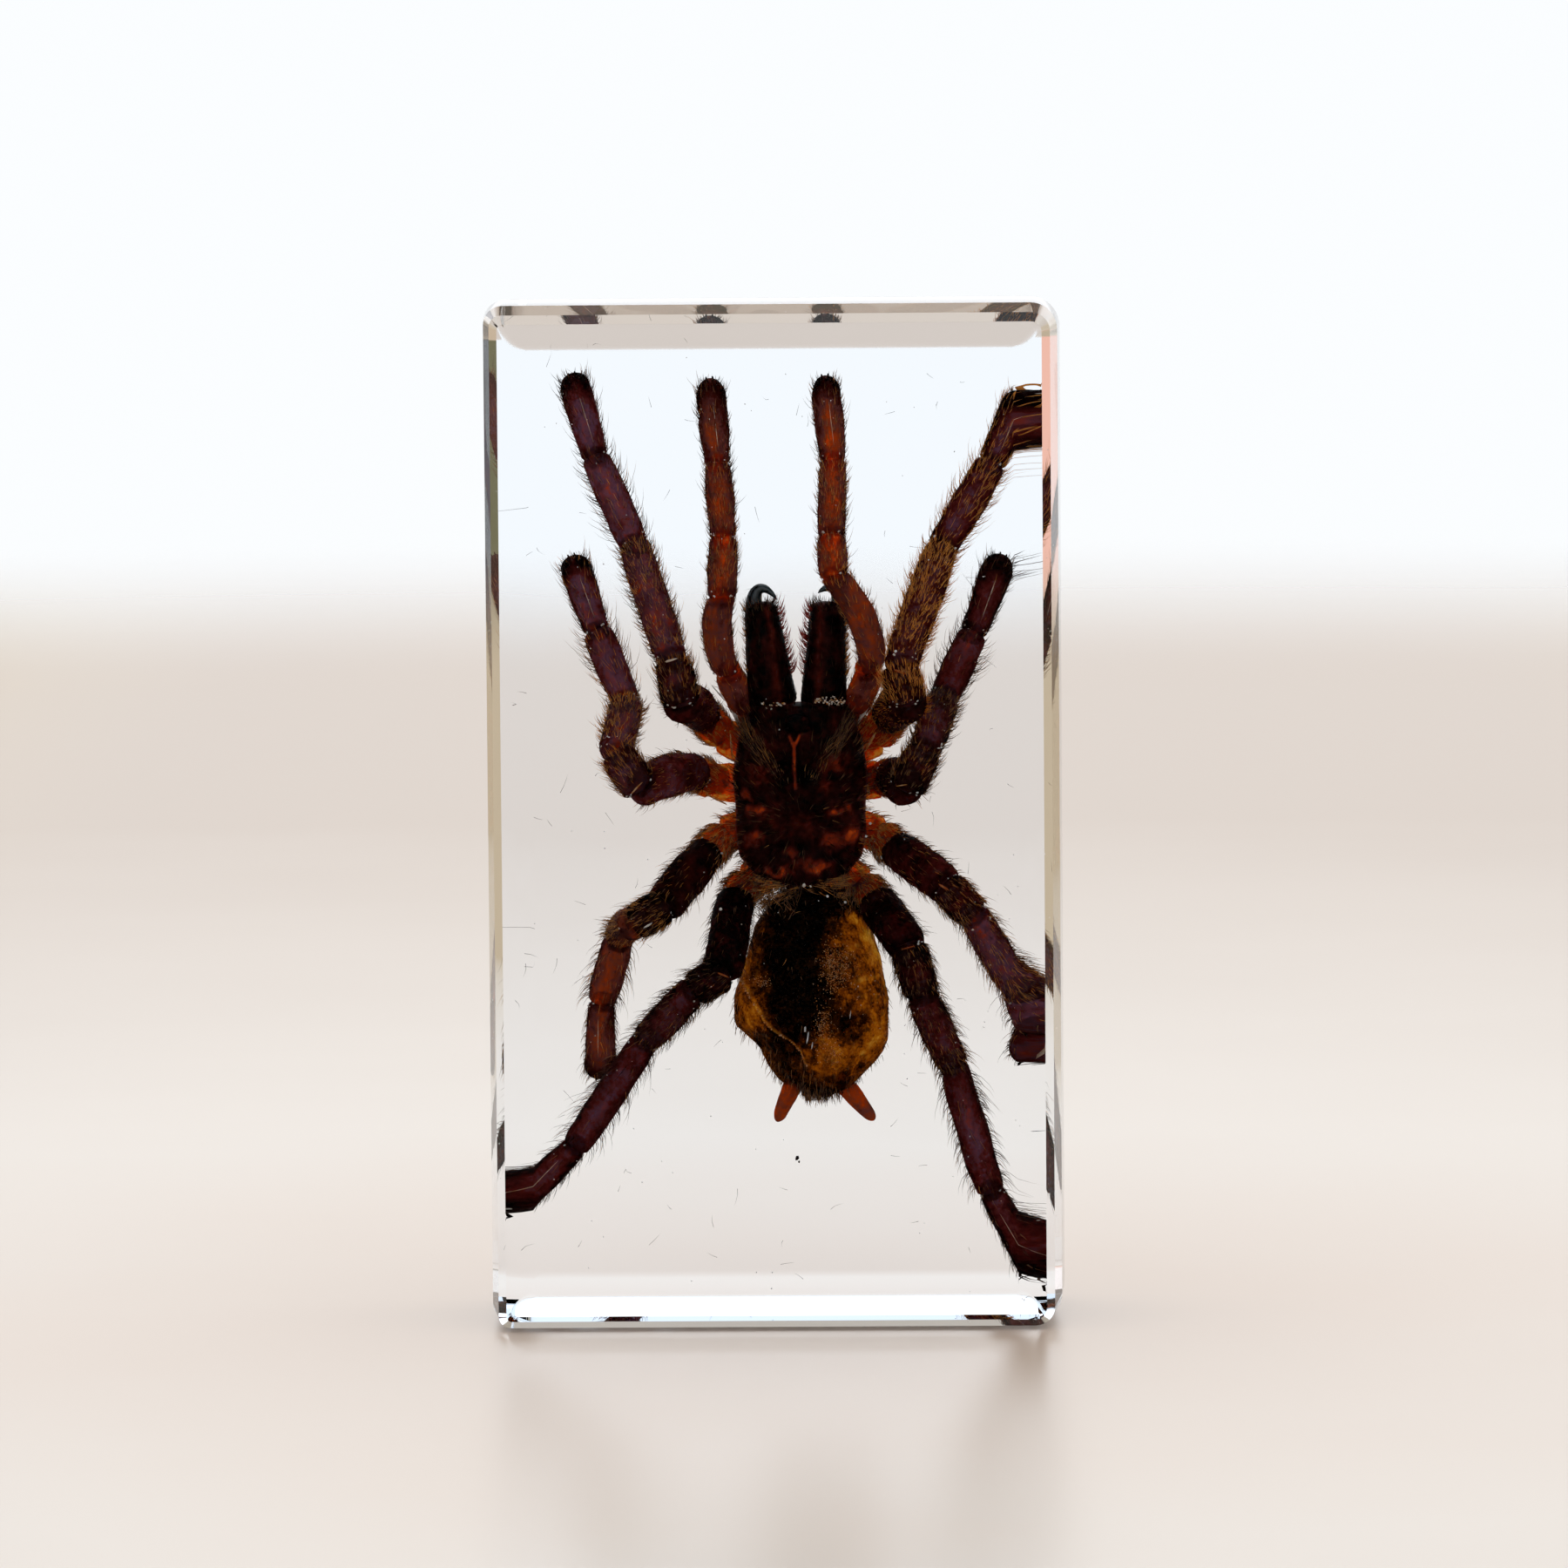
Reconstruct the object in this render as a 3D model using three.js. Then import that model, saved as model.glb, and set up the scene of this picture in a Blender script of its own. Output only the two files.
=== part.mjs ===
// Clear cast-resin block that seals a dried spider: an upright slab with hand-polished edges.
// Millimetres, +Z up. The origin is the middle of the base and -Y is the viewing face.
import * as THREE from 'three';

// Overall size
const WIDTH = 62;
const HEIGHT = 110;
const DEPTH = 27;

// Vertical corners of the outline, sharper on the left than on the right
const CORNER_LEFT = 2.4;
const CORNER_RIGHT = 3.2;
const CORNER_MIN = 0.6;
const CORNER_STEPS = 4;

// The border of each large face rolls away, ends in a bevel, and the walls swell to mid depth
const ROLL_WIDTH = 3.0;
const ROLL_ANGLE = THREE.MathUtils.degToRad(22);
const ROLL_STEPS = 4;
const BEVEL_WIDTH = 0.9;
const BEVEL_ANGLE = THREE.MathUtils.degToRad(60);
const TAPER_WIDTH = 0.8;
const TAPER_ANGLE = THREE.MathUtils.degToRad(80);
const SWELL_WIDTH = 0.3;

// Finish of the resin
const RESIN_COLOUR = 0xf3f2ec;
const RESIN_OPACITY = 0.25;
const RESIN_ROUGHNESS = 0.05;

// Section through one edge, from the flat of a large face to mid depth.
// inset is measured inward from the widest outline, depth back from the face.
function edgeProfile() {
  const radius = ROLL_WIDTH / Math.sin(ROLL_ANGLE);
  const widest = ROLL_WIDTH + BEVEL_WIDTH + TAPER_WIDTH + SWELL_WIDTH;
  const profile = [];
  for (let step = 0; step <= ROLL_STEPS; step += 1) {
    const angle = (ROLL_ANGLE * step) / ROLL_STEPS;
    profile.push({ inset: widest - radius * Math.sin(angle), depth: radius * (1 - Math.cos(angle)) });
  }
  const rollDepth = profile[ROLL_STEPS].depth;
  const bevelDepth = rollDepth + BEVEL_WIDTH * Math.tan(BEVEL_ANGLE);
  const taperDepth = bevelDepth + TAPER_WIDTH * Math.tan(TAPER_ANGLE);
  profile.push({ inset: TAPER_WIDTH + SWELL_WIDTH, depth: bevelDepth });
  profile.push({ inset: SWELL_WIDTH, depth: taperDepth });
  profile.push({ inset: 0, depth: DEPTH / 2 });
  return profile;
}

// One rounded outline of the block at the given depth, counter-clockwise from the viewing side.
// The base has no taper or swell, so that it is flat from bevel to bevel.
function outline(inset, y) {
  const baseInset = Math.max(inset - TAPER_WIDTH - SWELL_WIDTH, 0);
  const side = WIDTH / 2 - inset;
  const top = HEIGHT - inset;
  const left = Math.max(CORNER_LEFT - inset, CORNER_MIN);
  const right = Math.max(CORNER_RIGHT - inset, CORNER_MIN);
  const corners = [
    { x: side - right, z: baseInset + right, radius: right, start: -Math.PI / 2 },
    { x: side - right, z: top - right, radius: right, start: 0 },
    { x: left - side, z: top - left, radius: left, start: Math.PI / 2 },
    { x: left - side, z: baseInset + left, radius: left, start: Math.PI },
  ];
  const points = [];
  for (const { x, z, radius, start } of corners) {
    for (let step = 0; step <= CORNER_STEPS; step += 1) {
      const angle = start + ((Math.PI / 2) * step) / CORNER_STEPS;
      points.push(new THREE.Vector3(x + radius * Math.cos(angle), y, z + radius * Math.sin(angle)));
    }
  }
  return points;
}

// Closed skin over a row of outlines, with a flat cap at each end
function loft(rings) {
  const size = rings[0].length;
  const points = rings.flat();
  const index = [];
  for (let ring = 0; ring + 1 < rings.length; ring += 1) {
    for (let side = 0; side < size; side += 1) {
      const a = ring * size + side;
      const b = ring * size + ((side + 1) % size);
      index.push(a, a + size, b, b, a + size, b + size);
    }
  }
  const middle = new THREE.Vector3(0, 0, HEIGHT / 2);
  const front = points.push(middle.clone().setY(rings[0][0].y)) - 1;
  const rear = points.push(middle.clone().setY(rings.at(-1)[0].y)) - 1;
  const lastRing = (rings.length - 1) * size;
  for (let side = 0; side < size; side += 1) {
    const next = (side + 1) % size;
    index.push(front, side, next);
    index.push(rear, lastRing + next, lastRing + side);
  }
  const geometry = new THREE.BufferGeometry().setFromPoints(points);
  geometry.setIndex(index);
  geometry.computeVertexNormals();
  return geometry;
}

function resinBlock() {
  const profile = edgeProfile();
  const frontRings = profile.map(({ inset, depth }) => outline(inset, depth - DEPTH / 2));
  const rearHalf = profile.slice(0, -1).reverse();
  const rearRings = rearHalf.map(({ inset, depth }) => outline(inset, DEPTH / 2 - depth));
  const material = new THREE.MeshStandardMaterial({
    color: RESIN_COLOUR,
    roughness: RESIN_ROUGHNESS,
    metalness: 0,
    transparent: true,
    opacity: RESIN_OPACITY,
  });
  const mesh = new THREE.Mesh(loft([...frontRings, ...rearRings]), material);
  mesh.name = 'resin_block';
  return mesh;
}

const specimenBlock = new THREE.Group();
specimenBlock.add(resinBlock());

export default specimenBlock;
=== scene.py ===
"""Looks of a dried tarantula sealed in a clear resin block. Lengths are millimetres until a mesh is made."""
import itertools
import math
from collections import namedtuple

import bpy
import numpy as np
from mathutils import Matrix, Vector


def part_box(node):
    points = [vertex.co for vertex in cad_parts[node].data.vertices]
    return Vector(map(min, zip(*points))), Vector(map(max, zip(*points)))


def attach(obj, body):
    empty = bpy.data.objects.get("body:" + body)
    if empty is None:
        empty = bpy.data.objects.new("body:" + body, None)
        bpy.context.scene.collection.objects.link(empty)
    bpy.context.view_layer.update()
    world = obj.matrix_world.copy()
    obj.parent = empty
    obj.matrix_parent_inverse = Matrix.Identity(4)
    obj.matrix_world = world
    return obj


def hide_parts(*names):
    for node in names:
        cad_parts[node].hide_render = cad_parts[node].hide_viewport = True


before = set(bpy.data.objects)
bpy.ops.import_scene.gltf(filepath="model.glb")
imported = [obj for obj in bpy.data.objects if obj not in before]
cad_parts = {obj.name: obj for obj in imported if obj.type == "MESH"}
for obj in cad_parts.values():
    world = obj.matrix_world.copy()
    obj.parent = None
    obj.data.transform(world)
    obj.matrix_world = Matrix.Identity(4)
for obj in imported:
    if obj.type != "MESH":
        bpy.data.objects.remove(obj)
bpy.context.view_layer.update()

MM = 0.001
BODY = "root"
SEED = 4711

# The block, read from the frame, with the edge finish of the CAD solid at a finer step
BLOCK_LOW, BLOCK_HIGH = (np.array(corner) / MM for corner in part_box("resin_block"))
BLOCK_WIDTH, BLOCK_DEPTH, BLOCK_HEIGHT = BLOCK_HIGH - BLOCK_LOW
CORNER_LEFT = 2.4
CORNER_RIGHT = 3.2
CORNER_MIN = 0.6
CORNER_STEPS = 10
ROLL_WIDTH = 3.0
ROLL_ANGLE = math.radians(22)
ROLL_STEPS = 24
ROLL_EASE = 0.7
BEVEL_WIDTH = 0.9
BEVEL_ANGLE = math.radians(60)
TAPER_WIDTH = 0.8
TAPER_ANGLE = math.radians(80)
SWELL_WIDTH = 0.3
HAIR_MARGIN = 0.5
EDGE_MARGIN = 1.1

# Joints of each leg from the sternum to the tip: x to the viewer's right, y away from the viewer, z up
LEG_JOINTS = {
    "leg_1_left": [(0.2, 3.4, 60.6), (-5.6, 2.4, 63.0), (-7.5, 1.0, 65.3), (-9.7, -8.0, 67.1),
                   (-10.7, -7.5, 71.9), (-14.8, 3.0, 83.5), (-19.0, 7.0, 92.9), (-21.5, 9.5, 101.6)],
    "leg_1_right": [(5.6, 3.4, 60.6), (11.0, 2.4, 62.9), (12.6, 1.0, 65.1), (14.4, -8.0, 67.0),
                    (13.6, -7.5, 70.9), (18.1, 4.0, 82.9), (23.6, 8.0, 91.9), (27.0, 9.4, 99.3)],
    "leg_2_left": [(-0.4, 3.6, 57.4), (-6.6, 2.4, 58.2), (-8.3, 1.0, 59.1), (-14.2, -7.0, 58.0),
                   (-16.9, -6.5, 61.8), (-15.8, 3.0, 66.5), (-19.0, 4.5, 74.3), (-21.6, 6.0, 82.1)],
    "leg_2_right": [(6.2, 3.6, 57.4), (11.4, 2.4, 58.3), (12.8, 1.0, 58.5), (14.2, -7.0, 57.8),
                    (16.3, -6.5, 62.0), (18.3, 1.5, 66.9), (21.5, 4.0, 73.8), (24.7, 6.0, 81.9)],
    "leg_3_left": [(-0.2, 3.6, 53.8), (-5.4, 2.3, 52.4), (-7.1, 0.8, 50.6), (-11.8, -5.5, 45.2),
                   (-15.1, -6.0, 43.3), (-16.8, 3.0, 41.4), (-18.9, 5.0, 34.1), (-19.2, 6.0, 25.9)],
    "leg_3_right": [(6.0, 3.6, 53.8), (11.4, 2.3, 52.3), (12.9, 0.8, 50.8), (18.4, -5.0, 47.1),
                    (21.4, -6.0, 44.1), (26.1, 1.0, 35.4), (27.4, 6.0, 31.2), (26.5, 9.6, 27.6)],
    "leg_4_left": [(1.2, 3.6, 49.6), (-2.9, 2.4, 47.2), (-4.2, 1.2, 45.8), (-5.6, -5.0, 38.0),
                   (-8.8, -6.0, 36.1), (-13.9, 0.0, 30.5), (-21.8, 4.0, 18.5), (-29.0, 7.4, 11.2)],
    "leg_4_right": [(4.6, 3.6, 49.6), (9.4, 2.4, 46.9), (10.9, 1.2, 45.1), (14.4, -5.0, 40.6),
                    (15.8, -6.0, 35.5), (19.0, 0.0, 27.6), (23.0, 4.0, 13.4), (28.5, 7.2, 3.3)],
}
PALP_JOINTS = {
    "palp_left": [(0.8, 2.6, 63.0), (-3.0, 1.2, 66.0), (-4.8, -0.6, 70.0), (-5.4, -2.6, 78.2),
                  (-5.2, -1.0, 84.5), (-5.8, 1.5, 92.3), (-6.6, 3.0, 101.3)],
    "palp_right": [(5.0, 2.6, 63.0), (8.8, 1.2, 66.1), (10.5, -1.2, 70.2), (6.6, -4.0, 80.5),
                   (6.4, -2.0, 84.6), (6.6, 1.5, 92.6), (5.8, 3.0, 101.5)],
}
# Radius of each segment at its near end, middle and far end, how amber its skin is, and its hair:
# hairs to a square millimetre, their length, how far they stand off the skin, and their tone
LEG_SEGMENTS = [
    ("coxa", (1.9, 2.1, 1.9), 0.9, (0.8, 0.5, 0.5, 0.7)),
    ("trochanter", (1.8, 1.95, 1.85), 0.86, (8.0, 0.9, 0.9, 0.74)),
    ("femur", (1.95, 2.25, 2.1), 0.24, (3.0, 1.1, 0.9, 0.6)),
    ("patella", (1.95, 2.05, 1.8), 0.28, (4.4, 1.1, 0.9, 0.68)),
    ("tibia", (1.7, 1.85, 1.6), 0.42, (4.4, 1.4, 1.0, 0.68)),
    ("metatarsus", (1.5, 1.75, 1.5), 0.43, (2.8, 1.7, 1.1, 0.55)),
    ("tarsus", (1.35, 1.65, 1.75), 0.38, (2.8, 1.1, 0.7, 0.5)),
]
PALP_SEGMENTS = [
    ("coxa", (1.6, 1.8, 1.6), 0.55, (2.0, 0.6, 0.6, 0.7)),
    ("trochanter", (1.5, 1.6, 1.5), 0.55, (2.0, 0.6, 0.6, 0.7)),
    ("femur", (1.45, 1.6, 1.5), 0.57, (4.0, 0.8, 0.9, 0.7)),
    ("patella", (1.45, 1.6, 1.4), 0.6, (3.0, 0.9, 0.9, 0.66)),
    ("tibia", (1.4, 1.52, 1.35), 0.5, (3.0, 1.0, 0.9, 0.66)),
    ("tarsus", (1.3, 1.6, 1.45), 0.46, (3.0, 0.9, 0.6, 0.55)),
]
STRAIGHT = (0.0, 0.0, 0.0)
# For each limb: its size against the others, how much darker its femur and patella are, how much more
# amber its outer segments are, how much more golden its hair is, and the sideways bow of its femur
LIMB_TRAITS = {
    "leg_1_left": (1.0, 0.0, 0.0, 0.0, STRAIGHT),
    "leg_1_right": (1.05, 0.04, -0.14, 0.6, STRAIGHT),
    "leg_2_left": (1.0, -0.12, 0.0, 0.14, (0.0, 0.0, 0.6)),
    "leg_2_right": (1.0, 0.08, -0.14, -0.08, STRAIGHT),
    "leg_3_left": (0.98, 0.06, 0.08, 0.05, (0.0, 0.0, 0.3)),
    "leg_3_right": (0.98, 0.04, 0.0, 0.0, (0.0, 0.0, 0.3)),
    "leg_4_left": (0.98, 0.18, -0.16, -0.22, STRAIGHT),
    "leg_4_right": (1.0, 0.12, -0.16, -0.12, STRAIGHT),
    "palp_left": (1.0, 0.06, 0.0, 0.0, (-0.8, 0.0, 0.0)),
    "palp_right": (1.0, 0.0, 0.04, 0.05, (1.2, 0.0, 0.3)),
}
# Limbs with browner skin, and the kinds of segment that share a trait
BROWN_LIMBS = ("leg_3_left", "palp_left", "palp_right")
INNER_KINDS = ("femur", "patella")
OUTER_KINDS = ("tibia", "metatarsus", "tarsus")
BOWED_KINDS = ("femur", "tibia", "metatarsus")
BASE_KINDS = ("coxa", "trochanter")
STRIPED_KINDS = ("patella", "tibia", "metatarsus", "tarsus")
FUR_KINDS = ("patella", "tibia")
BRUSH_KINDS = ("metatarsus", "tarsus")
# Amber of a limb: how much more the back and belly of a segment have than its flanks, its ends than the
# rest, its streaks and the skin in its joints, and how much less its tip has
# Darker flanks are partly the segments' own stripes and partly painted shade at the outline of legs and
# palps, and the lighter flanks of coxae and trochanters are a painted glow at their edges
LEG_STRIPE = 0.3
PALP_STRIPE = 0.32
BASE_STRIPE = -0.24
LEG_JOINT = 0.08
PALP_JOINT = 0.32
JOINT_REACH = 0.35
STREAK = 0.12
JOINT_SKIN = 0.48
TIP_SHADE = 0.45
# Shape of a limb: points round and along a segment, its bow as a share of its length, and its overlap, joints
# and round ends as shares of its radius
LIMB_SIDES = 20
LIMB_RINGS = 18
BOW = 0.05
OVERLAP = 0.2
JOINT_SIZE = 0.84
END_ROUNDING = 0.42
TIP_ROUNDING = 1.3
CLAW_RADII = (0.16, 0.12, 0.05)

# The trunk of the spider
TRUNK_X = 2.85
CARAPACE_REAR = 47.0
CARAPACE_FRONT = 66.7
ABDOMEN_CENTRE = (3.95, 0.6, 35.3)
ABDOMEN_HALF = (8.2, 5.6, 11.4)


def lumps(points, size, seed, waves=9):
    """Smooth random values from about -1 to 1 at points, with features of the given size."""
    rng = np.random.default_rng(seed)
    directions = rng.normal(size=(waves, 3))
    phases = rng.uniform(0.0, 2.0 * math.pi, waves)
    return np.sin(points @ directions.T * (2.2 / size) + phases).mean(axis=1) * 1.8


def unit(vectors):
    return vectors / np.linalg.norm(vectors, axis=-1, keepdims=True)


def smooth_step(low, high, value):
    share = np.clip((value - low) / (high - low), 0.0, 1.0)
    return share * share * (3.0 - 2.0 * share)


class Shells:
    """Closed shells gathered into one mesh, each with an amber value at every point."""

    def __init__(self):
        self.points = []
        self.faces = []
        self.amber = []
        self.count = 0

    def add(self, points, faces, amber):
        if signed_volume(points, faces) < 0.0:
            faces = [tuple(reversed(face)) for face in faces]
        self.faces += [tuple(index + self.count for index in face) for face in faces]
        self.points.append(points)
        self.amber.append(np.broadcast_to(amber, len(points)))
        self.count += len(points)

    def make(self, name, material, slot):
        points, amber = np.concatenate(self.points), np.concatenate(self.amber)
        return make_piece(name, points, self.faces, amber, material)


def signed_volume(points, faces):
    total = 0.0
    for face in faces:
        for second, third in zip(face[1:-1], face[2:]):
            total += np.dot(points[face[0]], np.cross(points[second], points[third]))
    return total


def make_piece(name, points, faces, amber, material):
    """One smooth mesh of the object, in metres, that rides on the block."""
    mesh = bpy.data.meshes.new(name)
    mesh.from_pydata((points * MM).tolist(), [], faces)
    mesh.update()
    mesh.shade_smooth()
    tone = mesh.attributes.new("amber", "FLOAT", "POINT")
    tone.data.foreach_set("value", np.asarray(amber, dtype=np.float32))
    mesh.materials.append(material)
    piece = bpy.data.objects.new(name, mesh)
    bpy.context.collection.objects.link(piece)
    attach(piece, BODY)
    return piece


def closed_loft(rings, first_pole, last_pole):
    """Points and faces of a tube over rings of equal size, closed by a pole at each end."""
    count, sides = rings.shape[:2]
    points = np.concatenate([rings.reshape(-1, 3), [first_pole, last_pole]])
    first, last = count * sides, count * sides + 1
    faces = []
    for side in range(sides):
        follow = (side + 1) % sides
        faces.append((first, follow, side))
        faces.append((last, (count - 1) * sides + side, (count - 1) * sides + follow))
        for ring in range(count - 1):
            low, high = ring * sides, (ring + 1) * sides
            faces.append((low + side, low + follow, high + follow, high + side))
    return points, faces


class Segment:
    """One stretch of a limb: a bowed axis and a radius that swells in the middle and closes at both ends."""

    def __init__(self, start, end, radii, bow=0.0, flat=1.0, sway=STRAIGHT, blunt=END_ROUNDING):
        self.start = np.array(start, dtype=float)
        self.end = np.array(end, dtype=float)
        self.radii = radii
        self.flat = flat
        self.blunt = blunt
        self.length = np.linalg.norm(self.end - self.start)
        self.along = (self.end - self.start) / self.length
        front = np.array((0.0, -1.0, 0.0))
        if abs(self.along @ front) > 0.9:
            front = np.array((0.0, 0.0, 1.0))
        self.back = unit(front - self.along * (front @ self.along))
        self.side = np.cross(self.along, self.back)
        self.arch = self.back * bow + np.array(sway)

    def axis(self, t):
        t = np.asarray(t)[..., None]
        return self.start + (self.end - self.start) * t + self.arch * 4.0 * t * (1.0 - t)

    def radius(self, t):
        near, middle, far = self.radii
        t = np.asarray(t)
        swell = near * (1 - t) * (1 - 2 * t) + 4 * middle * t * (1 - t) + far * t * (2 * t - 1)
        near_round = min(0.45, END_ROUNDING * middle / self.length)
        far_round = min(0.45, self.blunt * middle / self.length)
        edge = np.clip(np.maximum(1.0 - t / near_round, 1.0 - (1.0 - t) / far_round), 0.0, 1.0)
        return swell * np.sqrt(np.maximum(1.0 - edge ** 2.5, 0.0))

    def radial(self, angle):
        angle = np.asarray(angle)[..., None]
        return np.cos(angle) * self.back * self.flat + np.sin(angle) * self.side

    def surface(self, t, angle):
        return self.axis(t) + self.radial(angle) * self.radius(t)[..., None]

    def shell(self, seed, sides=LIMB_SIDES, rings=LIMB_RINGS, dents=0.06):
        t = 0.5 * (1.0 - np.cos(np.pi * np.arange(1, rings) / rings))
        angles = 2.0 * np.pi * np.arange(sides) / sides
        grid_t, grid_angle = np.meshgrid(t, angles, indexing="ij")
        centres = self.axis(grid_t)
        spokes = self.radial(grid_angle) * self.radius(grid_t)[..., None]
        places = (centres + spokes).reshape(-1, 3)
        dent = 1.0 + dents * lumps(places, 1.6, seed) + 0.5 * dents * lumps(places, 0.6, seed + 1)
        ring_points = centres + spokes * dent.reshape(grid_t.shape)[..., None]
        return closed_loft(ring_points, self.axis(0.0), self.axis(1.0))

    def glow(self, points, amber, seed, stripe=0.0, joint=0.0):
        """Amber value of points: streaked, brighter at the ends, with a stripe along back and belly."""
        offsets = points - self.start
        reach = offsets @ self.along
        gap = np.minimum(np.abs(reach), np.abs(self.length - reach))
        lean = np.arctan2(offsets @ self.side, offsets @ self.back)
        streaks = lumps(np.stack([0.25 * reach, offsets @ self.side, offsets @ self.back], axis=1), 0.7, seed)
        # Partly own stripes, partly painted light: darker flanks paint shade at the outline, lighter ones on
        # the bases a glow at their edges
        band = stripe * (np.abs(np.cos(lean)) ** 3 - 0.5)
        return amber + band + joint * np.exp(-(gap / JOINT_REACH) ** 2) + STREAK * streaks


def node(tree, kind, inputs=None, **settings):
    """A shader node with its sockets set to values or linked to other sockets."""
    made = tree.nodes.new(kind)
    for name, value in settings.items():
        setattr(made, name, value)
    for name, value in (inputs or {}).items():
        if isinstance(value, bpy.types.NodeSocket):
            tree.links.new(value, made.inputs[name])
        else:
            made.inputs[name].default_value = value
    return made


def ramp(tree, factor, stops):
    made = node(tree, "ShaderNodeValToRGB", {"Fac": factor})
    elements = made.color_ramp.elements
    while len(elements) < len(stops):
        elements.new(0.5)
    for element, (place, colour) in zip(elements, stops):
        element.position = place
        element.color = (*colour, 1.0)
    return made.outputs["Color"]


def maths(tree, operation, *values, **settings):
    """The result of a math node over sockets or numbers."""
    return node(tree, "ShaderNodeMath", dict(enumerate(values)), operation=operation, **settings).outputs[0]


def fade(tree, value, low, high):
    """A smooth change from 0 where the value is low to 1 where it is high."""
    return node(tree, "ShaderNodeMapRange", {"Value": value, "From Min": low, "From Max": high},
                interpolation_type="SMOOTHSTEP").outputs[0]


def mix_colours(tree, factor, first, second):
    mixed = node(tree, "ShaderNodeMix", {"Factor": factor, "A": first, "B": second}, data_type="RGBA")
    return mixed.outputs["Result"]


def noise(tree, place, scale, detail, roughness=0.5):
    inputs = {"Vector": place, "Scale": scale, "Detail": detail, "Roughness": roughness}
    return node(tree, "ShaderNodeTexNoise", inputs).outputs["Fac"]


def relief(tree, height, strength, depth):
    """Surface directions over small bumps, with their depth in millimetres."""
    inputs = {"Height": height, "Strength": strength, "Distance": depth * MM}
    return node(tree, "ShaderNodeBump", inputs).outputs["Normal"]


def new_material(name):
    material = bpy.data.materials.new(name)
    material.use_nodes = True
    tree = material.node_tree
    tree.nodes.clear()
    return material, tree, node(tree, "ShaderNodeOutputMaterial")


def amber_factor(tree, clouds):
    """The mesh's amber value, broken up by noises given as scale and spread."""
    place = node(tree, "ShaderNodeTexCoord").outputs["Object"]
    total = node(tree, "ShaderNodeAttribute", attribute_name="amber").outputs["Fac"]
    for scale, spread in clouds:
        cloud = noise(tree, place, scale, 5.0, 0.6)
        shift = maths(tree, "MULTIPLY_ADD", cloud, spread, -0.5 * spread)
        total = maths(tree, "ADD", total, shift, use_clamp=True)
    return place, total


# Amber values between which thin skin starts to let more light through
THIN_SKIN = (0.74, 0.86)
# Depth of the small bumps of skin and of the polishing marks of resin
SKIN_BUMP = 0.2
RESIN_BUMP = 0.4


def skin_material(name, clouds, body, glow, through, clear, roughness, specular, bump_scale, bump, thin=None):
    """Dried skin: a dark surface that lets light from behind through, part of it unscattered.

    thin is the share that goes through where the skin is amber, if that differs."""
    material, tree, output = new_material(name)
    place, factor = amber_factor(tree, clouds)
    bumps = relief(tree, noise(tree, place, bump_scale, 4.0), bump, SKIN_BUMP)
    surface = node(tree, "ShaderNodeBsdfPrincipled", {
        "Base Color": ramp(tree, factor, body), "Roughness": roughness,
        "Specular IOR Level": specular, "Normal": bumps})
    tint = ramp(tree, factor, glow)
    milky = node(tree, "ShaderNodeBsdfTranslucent", {"Color": tint})
    glassy = node(tree, "ShaderNodeBsdfTransparent", {"Color": tint})
    behind = node(tree, "ShaderNodeMixShader", {"Fac": clear, 1: milky.outputs[0], 2: glassy.outputs[0]})
    share = through
    if thin is not None:
        limits = {"From Min": THIN_SKIN[0], "From Max": THIN_SKIN[1], "To Min": through, "To Max": thin}
        share = node(tree, "ShaderNodeMapRange", {"Value": factor, **limits}).outputs[0]
    both = node(tree, "ShaderNodeMixShader", {"Fac": share, 1: surface.outputs[0], 2: behind.outputs[0]})
    tree.links.new(both.outputs[0], output.inputs["Surface"])
    return material


CUTICLE_GLOW = [(0.0, (0.04, 0.012, 0.012)), (0.2, (0.3, 0.07, 0.06)), (0.36, (0.5, 0.16, 0.14)),
                (0.46, (0.46, 0.32, 0.44)), (0.6, (0.56, 0.34, 0.42)), (0.72, (0.66, 0.27, 0.2)),
                (0.8, (0.94, 0.2, 0.035)), (0.93, (1.0, 0.2, 0.014)), (1.0, (1.0, 0.7, 0.22))]
# Surface colour of the limb skins: dark, turning bright red to orange at high amber, partly their own colour
# and partly a painted glow of light through thin skin
CUTICLE_BODY = [(0.0, (0.002, 0.001, 0.001)), (0.3, (0.012, 0.003, 0.003)), (0.5, (0.03, 0.008, 0.009)),
                (0.72, (0.22, 0.022, 0.006)), (0.86, (1.0, 0.08, 0.005)), (1.0, (1.0, 0.36, 0.04))]
# What the skins of the limbs share, and what the two kinds of hair share
LIMB_SKIN = dict(through=0.62, clear=0.5, roughness=0.45, specular=0.02, bump_scale=5200.0, bump=0.5)
HAIR_SKIN = dict(through=0.5, clear=0.0, roughness=0.5, specular=0.03, bump_scale=9000.0, bump=0.2)
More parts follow.
